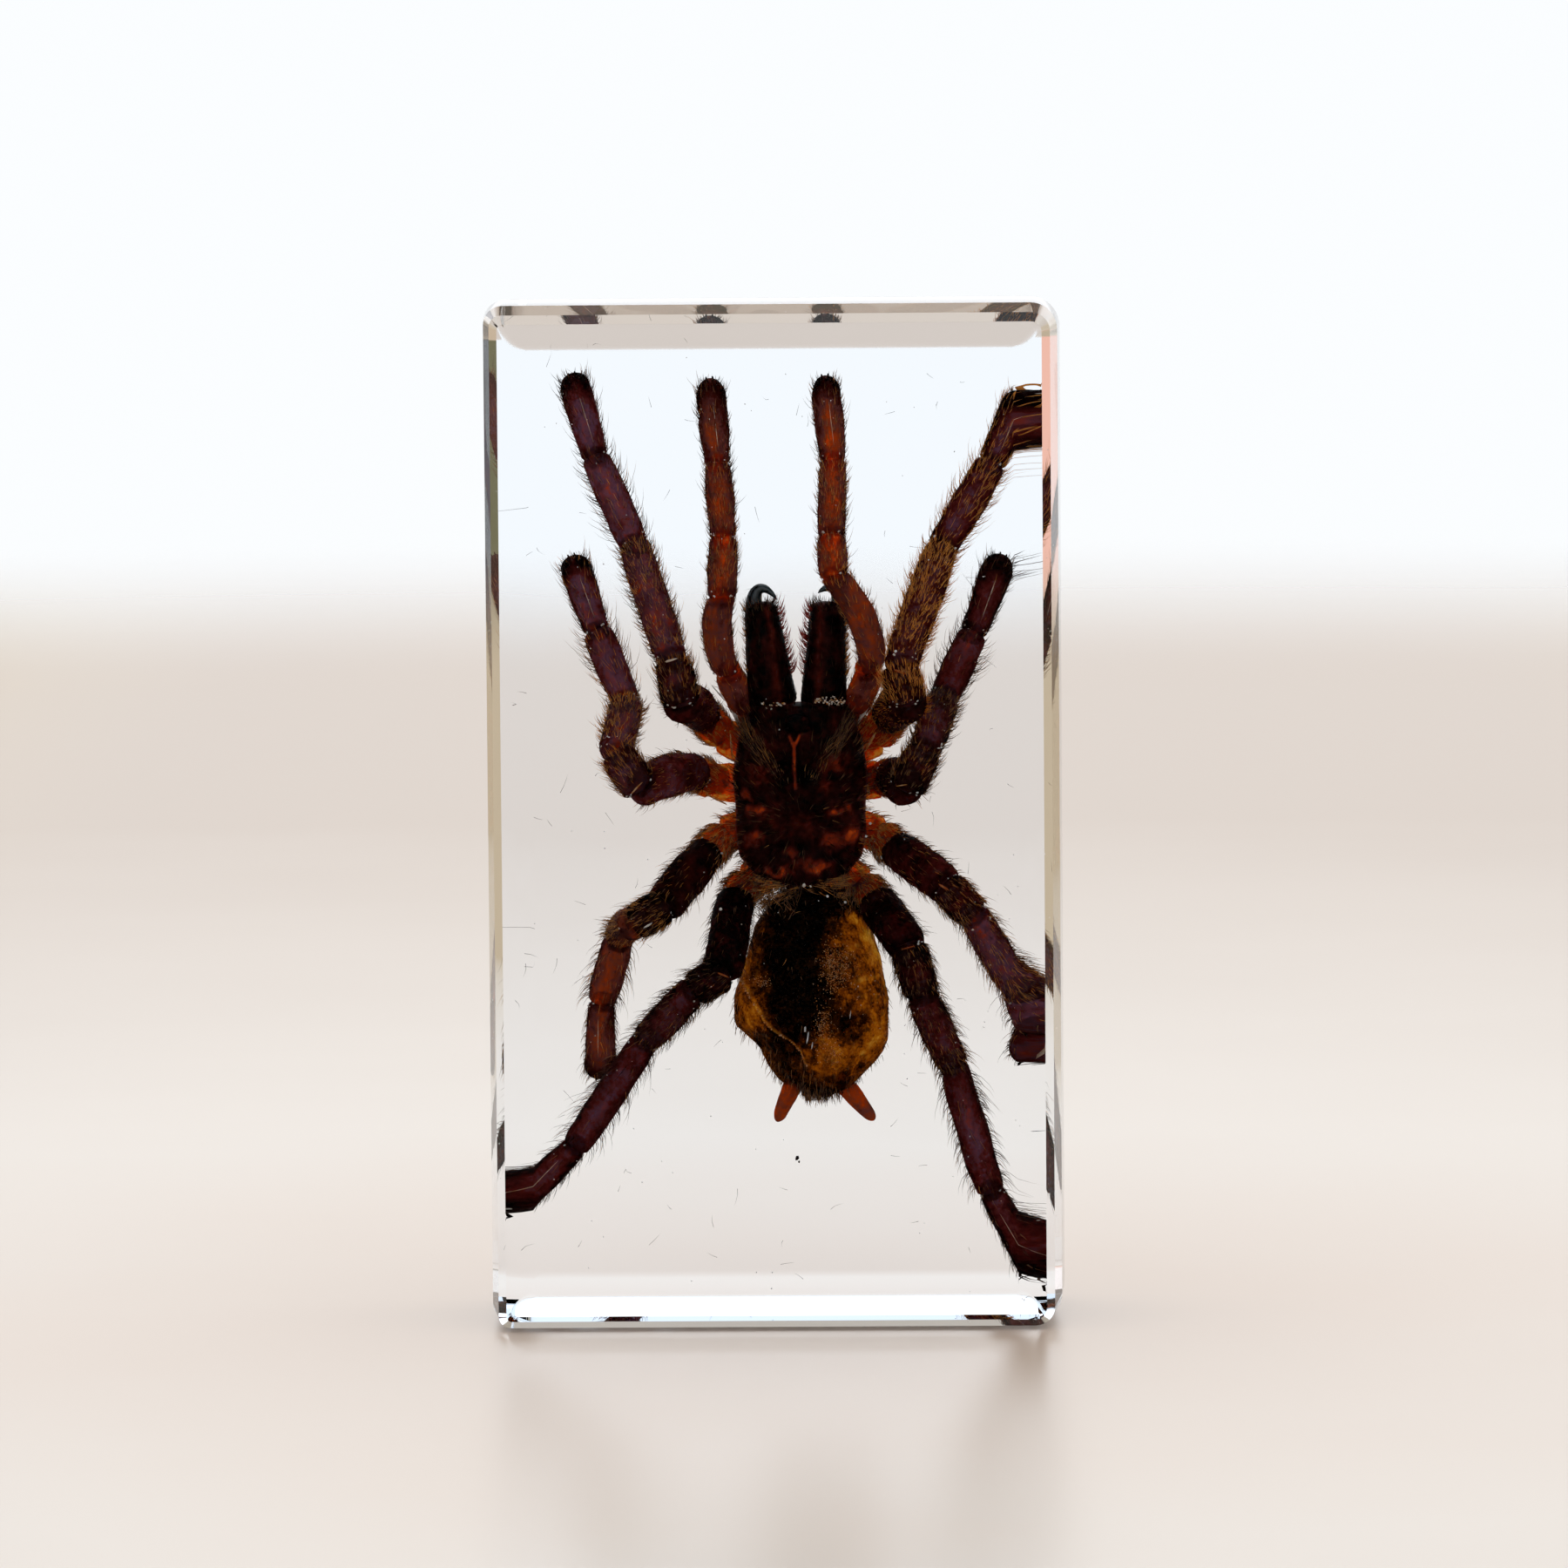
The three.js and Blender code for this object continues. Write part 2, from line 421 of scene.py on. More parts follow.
# Skins by material: noises, and the colours of surface and light from behind by amber value. palp_cuticle is
# the browner skin of the palps, one leg and the spinnerets, shield_cuticle that of the carapace and the jaws,
# and the last skin is silvery to golden, for pale crust, crumbs and specks and for flakes that paint glints
SKINS = {
    "dark_cuticle": dict(
        clouds=[(350.0, 0.8), (900.0, 0.6), (2200.0, 0.6)], body=CUTICLE_BODY, glow=CUTICLE_GLOW,
        **LIMB_SKIN, thin=0.86),
    "palp_cuticle": dict(
        clouds=[(350.0, 0.8), (900.0, 0.5), (2200.0, 0.5)], body=CUTICLE_BODY,
        glow=[(0.0, (0.04, 0.012, 0.01)), (0.3, (0.3, 0.08, 0.05)), (0.46, (0.48, 0.26, 0.26)),
              (0.6, (0.64, 0.27, 0.15)), (0.74, (0.88, 0.29, 0.06)), (0.87, (1.0, 0.28, 0.02)),
              (1.0, (1.0, 0.6, 0.14))],
        **LIMB_SKIN),
    "shield_cuticle": dict(
        clouds=[(220.0, 0.5), (900.0, 0.8)],
        # Bright red to orange surface at high amber: a painted glow of light through the thin spots, lines
        # and rim of the carapace
        body=[(0.0, (0.0005, 0.0005, 0.0005)), (0.25, (0.016, 0.0015, 0.001)), (0.5, (0.13, 0.012, 0.003)),
              (0.7, (0.4, 0.04, 0.005)), (0.88, (0.85, 0.12, 0.012)), (1.0, (1.0, 0.4, 0.06))],
        glow=CUTICLE_GLOW,
        through=0.35, clear=0.0, roughness=0.35, specular=0.02, bump_scale=3000.0, bump=0.4),
    "amber_skin": dict(
        clouds=[(300.0, 0.6), (1000.0, 1.1), (3500.0, 1.0)],
        body=[(0.0, (0.0002, 0.0002, 0.0002)), (0.35, (0.005, 0.003, 0.001)), (0.65, (0.14, 0.05, 0.006)),
              (0.85, (0.5, 0.2, 0.02)), (1.0, (0.9, 0.55, 0.12))],
        glow=[(0.0, (0.002, 0.001, 0.001)), (0.3, (0.14, 0.06, 0.02)), (0.44, (0.52, 0.23, 0.03)),
              (0.65, (0.82, 0.42, 0.06)), (1.0, (1.0, 0.74, 0.2))],
        through=0.82, clear=0.6, roughness=0.35, specular=0.03, bump_scale=2600.0, bump=0.8),
    "setae": dict(
        clouds=[(300.0, 0.6)],
        body=[(0.0, (0.005, 0.002, 0.002)), (0.4, (0.07, 0.04, 0.026)), (0.7, (0.32, 0.19, 0.11)),
              (1.0, (0.8, 0.38, 0.09))],
        glow=[(0.0, (0.05, 0.025, 0.025)), (0.4, (0.34, 0.14, 0.07)), (1.0, (1.0, 0.52, 0.12))], **HAIR_SKIN),
    "red_setae": dict(
        clouds=[(300.0, 0.6)], body=[(0.0, (0.02, 0.004, 0.004)), (1.0, (0.42, 0.06, 0.045))],
        glow=[(0.0, (0.2, 0.03, 0.03)), (1.0, (0.9, 0.26, 0.2))], **HAIR_SKIN),
    "fang_horn": dict(
        clouds=[(1500.0, 0.6)],
        body=[(0.0, (0.002, 0.004, 0.006)), (0.6, (0.006, 0.02, 0.026)), (1.0, (0.05, 0.1, 0.11))],
        glow=[(0.0, (0.01, 0.03, 0.04)), (0.6, (0.05, 0.1, 0.12)), (1.0, (0.3, 0.4, 0.42))],
        through=0.12, clear=0.0, roughness=0.2, specular=0.5, bump_scale=3000.0, bump=0.15),
    # Silvery to golden flakes: pale crust, crumbs and specks, and painted glints and highlights
    "air_film": dict(
        clouds=[(2500.0, 0.6)],
        body=[(0.0, (0.3, 0.07, 0.02)), (0.3, (0.5, 0.28, 0.08)), (0.6, (0.85, 0.78, 0.7)),
              (1.0, (0.95, 0.96, 0.98))],
        glow=[(0.0, (0.8, 0.12, 0.03)), (0.3, (0.95, 0.5, 0.12)), (0.6, (0.98, 0.9, 0.8)),
              (1.0, (1.0, 1.0, 1.0))],
        through=0.6, clear=0.0, roughness=0.15, specular=0.3, bump_scale=4000.0, bump=0.3),
}


def resin_material():
    """Clear resin: plain transmission and absorption, with faint polishing marks."""
    material, tree, output = new_material("clear_resin")
    place = node(tree, "ShaderNodeTexCoord").outputs["Object"]
    waves = relief(tree, noise(tree, place, 90.0, 1.0), 0.02, RESIN_BUMP)
    surface = node(tree, "ShaderNodeBsdfPrincipled", {
        "Base Color": (1.0, 1.0, 1.0, 1.0), "Roughness": 0.0, "IOR": 1.5, "Transmission Weight": 1.0,
        "Specular Tint": (0.01, 0.01, 0.01, 1.0), "Normal": waves})
    tree.links.new(surface.outputs[0], output.inputs["Surface"])
    depth = node(tree, "ShaderNodeVolumeAbsorption", {"Color": (0.88, 0.94, 1.0, 1.0), "Density": 19.0})
    tree.links.new(depth.outputs[0], output.inputs["Volume"])
    return material


def edge_profile():
    """Rings from the flat of a large face to mid depth: inset of the sides, inset of top and base, and depth.

    Insets are measured inward from the widest outline. The border of the sides rolls away evenly, as in the
    CAD solid. That of the top and base is as wide and as deep, but most of its turn is near the flat."""
    radius = ROLL_WIDTH / math.sin(ROLL_ANGLE)
    roll_depth = radius * (1.0 - math.cos(ROLL_ANGLE))
    widest = ROLL_WIDTH + BEVEL_WIDTH + TAPER_WIDTH + SWELL_WIDTH
    reach = ROLL_WIDTH * np.linspace(0.0, 1.0, ROLL_STEPS + 1) ** 1.5
    slope = np.minimum(reach / ROLL_EASE, 1.0)
    depth = np.concatenate([[0.0], np.cumsum(np.diff(reach) * 0.5 * (slope[1:] + slope[:-1]))])
    depth *= roll_depth / depth[-1]
    side_reach = np.sqrt(2.0 * radius * depth - depth ** 2)
    profile = list(zip((widest - side_reach).tolist(), (widest - reach).tolist(), depth.tolist()))
    bevel_depth = roll_depth + BEVEL_WIDTH * math.tan(BEVEL_ANGLE)
    taper_depth = bevel_depth + TAPER_WIDTH * math.tan(TAPER_ANGLE)
    profile.append((TAPER_WIDTH + SWELL_WIDTH, TAPER_WIDTH + SWELL_WIDTH, bevel_depth))
    profile.append((SWELL_WIDTH, SWELL_WIDTH, taper_depth))
    profile.append((0.0, 0.0, BLOCK_DEPTH / 2.0))
    return profile


def block_outline(side_inset, end_inset, y):
    """One rounded outline of the block. The base has no taper or swell, so that it is flat."""
    base = max(end_inset - TAPER_WIDTH - SWELL_WIDTH, 0.0)
    side = BLOCK_WIDTH / 2.0 - side_inset
    top = BLOCK_HEIGHT - end_inset
    left = max(CORNER_LEFT - end_inset, CORNER_MIN)
    right = max(CORNER_RIGHT - end_inset, CORNER_MIN)
    corners = [(side - right, base + right, right, -0.5), (side - right, top - right, right, 0.0),
               (left - side, top - left, left, 0.5), (left - side, base + left, left, 1.0)]
    points = []
    for x, z, radius, quarter in corners:
        for step in range(CORNER_STEPS + 1):
            angle = math.pi * (quarter + 0.5 * step / CORNER_STEPS)
            points.append((x + radius * math.cos(angle), y, z + radius * math.sin(angle)))
    return points


def make_block(material):
    profile = edge_profile()
    half = BLOCK_DEPTH / 2.0
    rings = [block_outline(side, end, depth - half) for side, end, depth in profile]
    rings += [block_outline(side, end, half - depth) for side, end, depth in reversed(profile[:-1])]
    size = len(rings[0])
    points = np.array(rings).reshape(-1, 3)
    faces = [tuple(range(size)), tuple(reversed(range(len(points) - size, len(points))))]
    for ring in range(len(rings) - 1):
        for side in range(size):
            follow = (side + 1) % size
            near, far = ring * size, (ring + 1) * size
            faces.append((near + side, far + side, far + follow, near + follow))
    block = make_piece("clear_block", points, faces, np.zeros(len(points)), material)
    crease_rings = {ROLL_STEPS, ROLL_STEPS + 1, ROLL_STEPS + 2}
    crease_rings |= {len(rings) - 1 - ring for ring in crease_rings}
    for edge in block.data.edges:
        low, high = (vertex // size for vertex in edge.vertices)
        edge.use_edge_sharp = low == high and low in crease_rings
    weighted = block.modifiers.new("flat_faces", "WEIGHTED_NORMAL")
    weighted.keep_sharp = True
    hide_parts("resin_block")
    return block


def limb_segments(name, joints, kinds):
    """The segments of a limb, each a little longer than its joints are apart so that they overlap."""
    size, shade, flush, gilt, sway = LIMB_TRAITS[name]
    segments = []
    for index, (kind, radii, amber, coat) in enumerate(kinds):
        start, end = np.array(joints[index]), np.array(joints[index + 1])
        along = unit(end - start)
        sized = tuple(radius * size for radius in radii)
        part = Segment(start - along * OVERLAP * sized[0], end + along * OVERLAP * sized[2], sized,
                       bow=BOW * np.linalg.norm(end - start) if kind in BOWED_KINDS else 0.0,
                       sway=sway if kind == "femur" else STRAIGHT,
                       blunt=TIP_ROUNDING if kind == "tarsus" else END_ROUNDING)
        amber += flush * (kind in OUTER_KINDS) - shade * (kind in INNER_KINDS)
        dense, length, lift, tone = coat
        segments.append((kind, part, amber, (dense, length, lift, tone + gilt)))
    return segments


def segment_stripe(name, kind):
    """How much more amber the back and belly of a segment are than its flanks."""
    if kind in BASE_KINDS:
        return BASE_STRIPE
    if kind not in STRIPED_KINDS:
        return 0.0
    return PALP_STRIPE if name in PALP_JOINTS else LEG_STRIPE


def add_joint_skin(shells, near, far, seed, amber):
    """Short sleeve of skin in the joint between two segments."""
    reach = JOINT_SIZE * min(near.radii[2], far.radii[0])
    joint = far.start + far.along * OVERLAP * far.radii[0]
    sleeve = Segment(joint - near.along * reach, joint + far.along * reach, (reach, reach, reach))
    shells.add(*sleeve.shell(seed, rings=8), amber)


def add_claws(shells, tip, seed):
    """Two small hooks at the end of a limb."""
    for side in (-1.0, 1.0):
        root = tip.axis(0.95) + tip.side * side * 0.35
        claw = Segment(root, root + tip.along * 0.7 - tip.back * 0.3, CLAW_RADII, bow=0.15)
        shells.add(*claw.shell(seed, sides=8, rings=6), 0.0)


def make_limb(name, segments, seed, material):
    """All the segments of a limb, the skin between them, and the claws at its tip."""
    shells = Shells()
    joint_glow = PALP_JOINT if name in PALP_JOINTS else LEG_JOINT
    for index, (kind, segment, amber, _) in enumerate(segments):
        own_seed = seed + 10 * index
        points, faces = segment.shell(own_seed)
        glow = segment.glow(points, amber, own_seed + 3, segment_stripe(name, kind), joint_glow)
        if kind == "tarsus":
            share = (points - segment.start) @ segment.along / segment.length
            glow -= TIP_SHADE * smooth_step(0.6, 0.95, share)
        shells.add(points, faces, np.clip(glow, 0.0, 1.0))
        if index:
            add_joint_skin(shells, segments[index - 1][1], segment, own_seed + 5, JOINT_SKIN + joint_glow)
    add_claws(shells, segments[-1][1], seed + 91)
    return shells.make(name, material, "dark_cuticle")


# One hair: sides, places of its rings from root to tip, taper, and a direction that sets its sides
HAIR_SIDES = 3
HAIR_STATIONS = (0.0, 0.4, 0.75)
HAIR_POINTS = HAIR_SIDES * len(HAIR_STATIONS) + 1
HAIR_TAPER = 0.65
HAIR_SKEW = (0.31, 0.52, 0.79)


def hair_triangles():
    """Triangles of one hair: three short tubes that taper to a point, closed at the root."""
    triangles = [(0, 2, 1)]
    for station in range(len(HAIR_STATIONS)):
        low, high = station * HAIR_SIDES, (station + 1) * HAIR_SIDES
        for side in range(HAIR_SIDES):
            follow = (side + 1) % HAIR_SIDES
            if station + 1 == len(HAIR_STATIONS):
                triangles.append((low + side, low + follow, HAIR_POINTS - 1))
            else:
                triangles.append((low + side, low + follow, high + side))
                triangles.append((low + follow, high + follow, high + side))
    return np.array(triangles)


def within_block(points):
    """Which points keep clear of the walls of the block and of its bevelled edges."""
    x, y, z = np.abs(points[:, 0]), np.abs(points[:, 1]), np.abs(points[:, 2] - BLOCK_HEIGHT / 2.0)
    slack_x = BLOCK_WIDTH / 2.0 - HAIR_MARGIN - x
    slack_y = BLOCK_DEPTH / 2.0 - EDGE_MARGIN - y
    slack_z = BLOCK_HEIGHT / 2.0 - HAIR_MARGIN - z
    walls = (slack_x > 0.0) & (slack_y > 0.0) & (slack_z > 0.0)
    return walls & (slack_x + slack_y > EDGE_MARGIN) & (slack_z + slack_y > EDGE_MARGIN)


class Copies:
    """Many small bodies with the same triangles gathered into one mesh."""

    def __init__(self, triangles, seed):
        self.triangles = triangles
        self.rng = np.random.default_rng(seed)
        self.points = []
        self.amber = []

    def make(self, name, material, slot):
        points = np.concatenate(self.points)
        count, size = points.shape[:2]
        faces = (self.triangles[None] + np.arange(count)[:, None, None] * size).reshape(-1, 3)
        amber = np.repeat(np.concatenate(self.amber), size)
        return make_piece(name, points.reshape(-1, 3), faces.tolist(), amber, material)


# Hairs of one kind: how many, their length and width, how far they stand off the skin, and their tone
Coat = namedtuple("Coat", "count length width lift tone")
TONE_SPREAD = 0.2


class Hairs(Copies):
    """Tapered curved hairs."""

    def __init__(self, seed):
        super().__init__(hair_triangles(), seed)

    def add(self, roots, directions, bends, lengths, width, amber):
        """Hairs from arrays. Those that would leave the block are left out."""
        lengths = lengths[:, None]
        tips = roots + (directions + bends) * lengths
        inside = within_block(tips)
        aside = unit(np.cross(directions, np.array(HAIR_SKEW)))
        across = np.cross(directions, aside)
        hairs = []
        for station in HAIR_STATIONS:
            centre = roots + directions * lengths * station + bends * lengths * station ** 2
            radius = 0.5 * width * (1.0 - HAIR_TAPER * station)
            for side in range(HAIR_SIDES):
                angle = 2.0 * math.pi * side / HAIR_SIDES
                hairs.append(centre + radius * (aside * math.cos(angle) + across * math.sin(angle)))
        hairs.append(tips)
        self.points.append(np.stack(hairs, axis=1)[inside])
        self.amber.append(amber[inside])

    def tones(self, coat):
        return np.clip(coat.tone + TONE_SPREAD * self.rng.normal(size=coat.count), 0.0, 1.0)

    def on_limb(self, segment, coat, angles=(0.0, math.pi), reach=(0.04, 0.97)):
        """Hairs over one segment that stand off its skin and curve towards its far end."""
        rng, count = self.rng, coat.count
        t = rng.uniform(*reach, count)
        angle = angles[0] + angles[1] * rng.uniform(-1.0, 1.0, count)
        normals = unit(segment.radial(angle))
        roots = segment.axis(t) + segment.radial(angle) * (segment.radius(t) * 0.96)[:, None]
        stand = coat.lift * rng.uniform(0.7, 1.3, (count, 1))
        directions = unit(normals * stand + 0.6 * segment.along + 0.14 * rng.normal(size=(count, 3)))
        bends = 0.55 * segment.along - 0.3 * normals + 0.1 * rng.normal(size=(count, 3))
        lengths = coat.length * rng.uniform(0.6, 1.2, count)
        self.add(roots, directions, bends, lengths, coat.width, self.tones(coat))

    def on_surface(self, surface, coat, where=slice(None), mess=0.22):
        """Hairs on part of a surface, given by points, the directions out of it and the flow of its hair."""
        points, normals, flow = (values[where] for values in surface)
        rng, count = self.rng, coat.count
        chosen = rng.integers(0, len(points), count)
        roots = points[chosen] - 0.04 * normals[chosen] + 0.1 * rng.normal(size=(count, 3))
        stand = coat.lift * rng.uniform(0.6, 1.4, (count, 1))
        directions = unit(normals[chosen] * stand + flow[chosen] + mess * rng.normal(size=(count, 3)))
        bends = 0.3 * flow[chosen] - 0.15 * normals[chosen] + 0.55 * mess * rng.normal(size=(count, 3))
        lengths = coat.length * rng.uniform(0.55, 1.2, count)
        self.add(roots, directions, bends, lengths, coat.width, self.tones(coat))


# One flake: the corners of three golden rectangles at right angles, and a length just over its edges
GOLDEN = (1.0 + math.sqrt(5.0)) / 2.0
GOLDEN_RECTANGLE = np.array([(x, y * GOLDEN, 0.0) for x in (-1, 1) for y in (-1, 1)])
FLAKE_CORNERS = unit(np.concatenate([np.roll(GOLDEN_RECTANGLE, turn, axis=1) for turn in range(3)]))
FLAKE_EDGE = 1.2


def flake_triangles():
    """Triangles of the twenty-sided body over the flake corners, facing outwards."""
    triangles = []
    for trio in itertools.combinations(range(len(FLAKE_CORNERS)), 3):
        corners = FLAKE_CORNERS[list(trio)]
        longest = max(np.linalg.norm(corners[i] - corners[i - 1]) for i in range(3))
        if longest < FLAKE_EDGE:
            turn = np.dot(np.cross(corners[1] - corners[0], corners[2] - corners[0]), corners.sum(axis=0))
            triangles.append(trio if turn > 0.0 else (trio[0], trio[2], trio[1]))
    return np.array(triangles)


class Flakes(Copies):
    """Small uneven bodies."""

    def __init__(self, seed):
        super().__init__(flake_triangles(), seed)

    def add(self, centres, sizes, tones, lengthwise=None):
        """Bodies at centres. sizes has three half sizes for each, the first along lengthwise."""
        count = len(centres)
        first = unit(self.rng.normal(size=(count, 3)) if lengthwise is None else lengthwise)
        second = unit(np.cross(first, unit(self.rng.normal(size=(count, 3)))))
        third = np.cross(first, second)
        axes = np.stack([first, second, third], axis=1) * sizes[:, :, None]
        uneven = self.rng.uniform(0.75, 1.2, (count, len(FLAKE_CORNERS), 1))
        shapes = np.einsum("ck,nkd->ncd", FLAKE_CORNERS, axes) * uneven
        self.points.append(shapes + centres[:, None])
        self.amber.append(np.broadcast_to(tones, count))


# Hair of a limb: at its tip, and hairs to a square millimetre for bristles, fur and brushes
TIP_COAT = Coat(40, 0.5, 0.08, 0.6, 0.08)
BRISTLE_DENSITY = 0.07
FUR_DENSITY = 2.5
BRUSH_DENSITY = 0.4


def make_limb_hairs(name, segments, seed, material):
    """The coat of a limb: curved hairs, densest at its flanks, long bristles, fur and brushes at its tip."""
    hairs = Hairs(seed)
    flat_share = 0.34 + 1.1 * LIMB_TRAITS[name][3]
    for kind, segment, _, (dense, length, lift, tone) in segments:
        area = 2.0 * math.pi * segment.radii[1] * segment.length
        cover = area * dense
        hairs.on_limb(segment, Coat(int(cover * 0.1), length, 0.08, lift, tone))
        hairs.on_limb(segment, Coat(int(cover * flat_share), 0.8, 0.08, 0.35, tone + 0.1))
        comb = Coat(int(cover * 0.11), length, 0.09, lift, tone)
        bristles = Coat(int(area * BRISTLE_DENSITY), 1.6 * length, 0.07, 1.2, tone - 0.1)
        fur = Coat(int(area * FUR_DENSITY), 0.5, 0.08, 0.5, tone)
        brush = Coat(int(area * BRUSH_DENSITY), 0.4, 0.08, 0.7, 0.2)
        for side in (-1.0, 1.0):
            flank = side * math.pi / 2.0
            hairs.on_limb(segment, comb, (flank, 0.4))
            hairs.on_limb(segment, bristles, (flank, 0.5))
            if kind in FUR_KINDS:
                hairs.on_limb(segment, fur, (flank, 1.6))
            if kind in BRUSH_KINDS:
                hairs.on_limb(segment, brush, (1.25 * flank, 0.4))
    hairs.on_limb(segments[-1][1], TIP_COAT, reach=(0.85, 0.97))
    return hairs.make(name + "_setae", material, "setae")


# Half widths of the carapace at places from its rear edge (0) to its front edge (1)
CARAPACE_PLACES = (0.0, 0.06, 0.16, 0.28, 0.4, 0.6, 0.8, 0.93, 1.0)
CARAPACE_HALF_WIDTHS = (3.0, 5.0, 6.6, 7.1, 6.95, 7.3, 6.7, 5.75, 5.3)


def carapace_share(z):
    """Place along the carapace from its rear edge (0) to its front edge (1)."""
    return (z - CARAPACE_REAR) / (CARAPACE_FRONT - CARAPACE_REAR)


def carapace_half_width(share):
    return np.interp(share, CARAPACE_PLACES, CARAPACE_HALF_WIDTHS)


# Reddish thin spots of the carapace, which let some light through, with more of its glow painted into their
# surface colour: x from its middle, z, size across, size along, strength
CARAPACE_SPOTS = [
    (3.7, 55.1, 1.1, 0.7, 0.9), (5.4, 55.4, 0.8, 0.6, 0.85), (6.6, 56.8, 0.4, 0.5, 0.75),
    (3.05, 57.6, 0.5, 0.4, 0.66), (3.5, 60.2, 1.6, 1.5, 0.6), (5.6, 52.4, 1.5, 1.3, 0.82),
    (3.6, 51.8, 1.8, 1.2, 0.68), (2.1, 49.0, 1.6, 0.9, 0.82), (0.4, 49.7, 1.2, 0.9, 0.64),
    (-1.0, 50.5, 0.7, 1.4, 0.7), (-4.4, 55.2, 1.0, 0.7, 0.78), (-5.8, 56.6, 0.7, 0.8, 0.78),
    (-5.0, 52.2, 1.8, 1.2, 0.64), (-4.3, 59.4, 1.5, 1.8, 0.56), (-2.5, 48.4, 1.7, 0.6, 0.72),
]
# Thin orange lines in the middle of the carapace, and how bright each is
CARAPACE_MARK = [
    (((-1.1, 63.3), (-0.7, 62.3)), 0.85), (((0.0, 63.4), (-0.5, 62.3)), 0.85),
    (((-0.62, 62.6), (-0.58, 59.6)), 0.95), (((-0.58, 59.6), (-0.5, 57.6)), 0.75),
]
# Two bands of hair beside the head, each along a line
CARAPACE_BANDS = [((-5.7, 63.5), (-1.9, 58.5)), ((4.7, 63.7), (1.5, 58.7))]


def line_distance(x, z, line):
    """Distance of points to a short straight line in the plane of the large faces."""
    (x0, z0), (x1, z1) = line
    reach_x, reach_z = x1 - x0, z1 - z0
    share = np.clip(((x - x0) * reach_x + (z - z0) * reach_z) / (reach_x ** 2 + reach_z ** 2), 0.0, 1.0)
    return np.hypot(x - x0 - share * reach_x, z - z0 - share * reach_z)


# Points along the carapace, over it and under it, its pit and grooves, and its eyes
CARAPACE_RINGS = 100
CARAPACE_COLUMNS = 121
CARAPACE_UNDER = 41
PIT_Z = CARAPACE_REAR + 0.36 * (CARAPACE_FRONT - CARAPACE_REAR)
GROOVE_BEARINGS = (38.0, 75.0, 105.0, 140.0)
EYE_Y = -4.4
EYE_DEPTH = 0.7
EYES = ((-1.35, 64.2), (-0.9, 65.2), (0.5, 65.2), (0.95, 64.2), (-0.6, 64.5), (0.2, 64.5))


def carapace_surface():
    """Points of the shield over the front body: a raised head, a pit and grooves that fan out from it."""
    share = (np.arange(CARAPACE_RINGS) + 0.5) / CARAPACE_RINGS
    upper = np.sin(np.linspace(-0.5, 0.5, CARAPACE_COLUMNS) * np.pi)
    lower = np.sin(np.linspace(0.5, -0.5, CARAPACE_UNDER + 2)[1:-1] * np.pi)
    across = np.concatenate([upper, lower])
    dorsal = np.arange(len(across)) < CARAPACE_COLUMNS
    grid_share, grid_across = np.meshgrid(share, across, indexing="ij")
    ends = np.clip(np.minimum(grid_share / 0.05, (1.0 - grid_share) / 0.03), 0.0, 1.0)
    close = np.sqrt(1.0 - (1.0 - ends) ** 2)
    top = (3.0 + 1.5 * smooth_step(0.45, 0.8, grid_share)) * (0.55 + 0.45 * close)
    x = carapace_half_width(grid_share) * grid_across * (0.8 + 0.2 * close)
    z = CARAPACE_REAR + (CARAPACE_FRONT - CARAPACE_REAR) * grid_share
    bulge = np.maximum(1.0 - np.abs(grid_across) ** 2.6, 0.0)
    reach = np.hypot(x, z - PIT_Z)
    bearing = np.degrees(np.arctan2(np.abs(x), z - PIT_Z))
    groove = sum(np.exp(-((bearing - line) / 6.0) ** 2) for line in GROOVE_BEARINGS)
    groove = 0.42 * groove * np.exp(-((reach - 3.6) / 2.6) ** 2)
    pit = 1.3 * np.exp(-((x / 1.3) ** 2 + ((z - PIT_Z) / 0.7) ** 2))
    rise = np.where(dorsal, top * bulge ** 0.62 - (groove + pit) * bulge, -1.6 * close * bulge ** 0.6)
    points = np.stack([TRUNK_X + x, 0.6 - rise, z], axis=-1)
    rough = lumps(points.reshape(-1, 3), 1.1, SEED) + 0.6 * lumps(points.reshape(-1, 3), 0.5, SEED + 1)
    return points + 0.08 * rough.reshape(*x.shape, 1) * np.array((0.3, 1.0, 0.3))


def carapace_amber(points):
    """Amber value of the shield: reddish spots on black, thin orange lines and a black field of eyes. Where
    amber is high, the surface colour paints a glow of light through thin skin.
    """
    x, z = points[:, 0] - TRUNK_X, points[:, 2]
    amber = 0.2 + 0.1 * lumps(points, 2.2, SEED + 3)
    amber -= 0.2 * np.exp(-((x + 0.4) / 1.9) ** 2 - ((z - 60.0) / 3.2) ** 2)
    half_width = carapace_half_width(np.clip(carapace_share(z), 0.0, 1.0))
    amber += 0.35 * smooth_step(0.95, 1.0, np.abs(x) / half_width)
    warped_x = x + 0.7 * lumps(points, 0.9, SEED + 4)
    warped_z = z + 0.6 * lumps(points, 0.9, SEED + 5)
    veins = 1.0 - 0.3 * np.exp(-(lumps(points, 0.8, SEED + 6) / 0.15) ** 2)
    for spot_x, spot_z, wide, tall, strength in CARAPACE_SPOTS:
        reach = np.hypot((warped_x - spot_x) / wide, (warped_z - spot_z) / tall)
        amber = np.maximum(amber, strength * veins * np.exp(-reach ** 2))
    for line, strength in CARAPACE_MARK:
        amber = np.maximum(amber, strength * np.exp(-(line_distance(x, z, line) / 0.18) ** 2))
    amber *= 1.0 - 0.95 * np.exp(-((x + 0.2) / 2.4) ** 2 - ((z - 64.9) / 1.1) ** 2)
    return np.clip(amber, 0.0, 1.0)


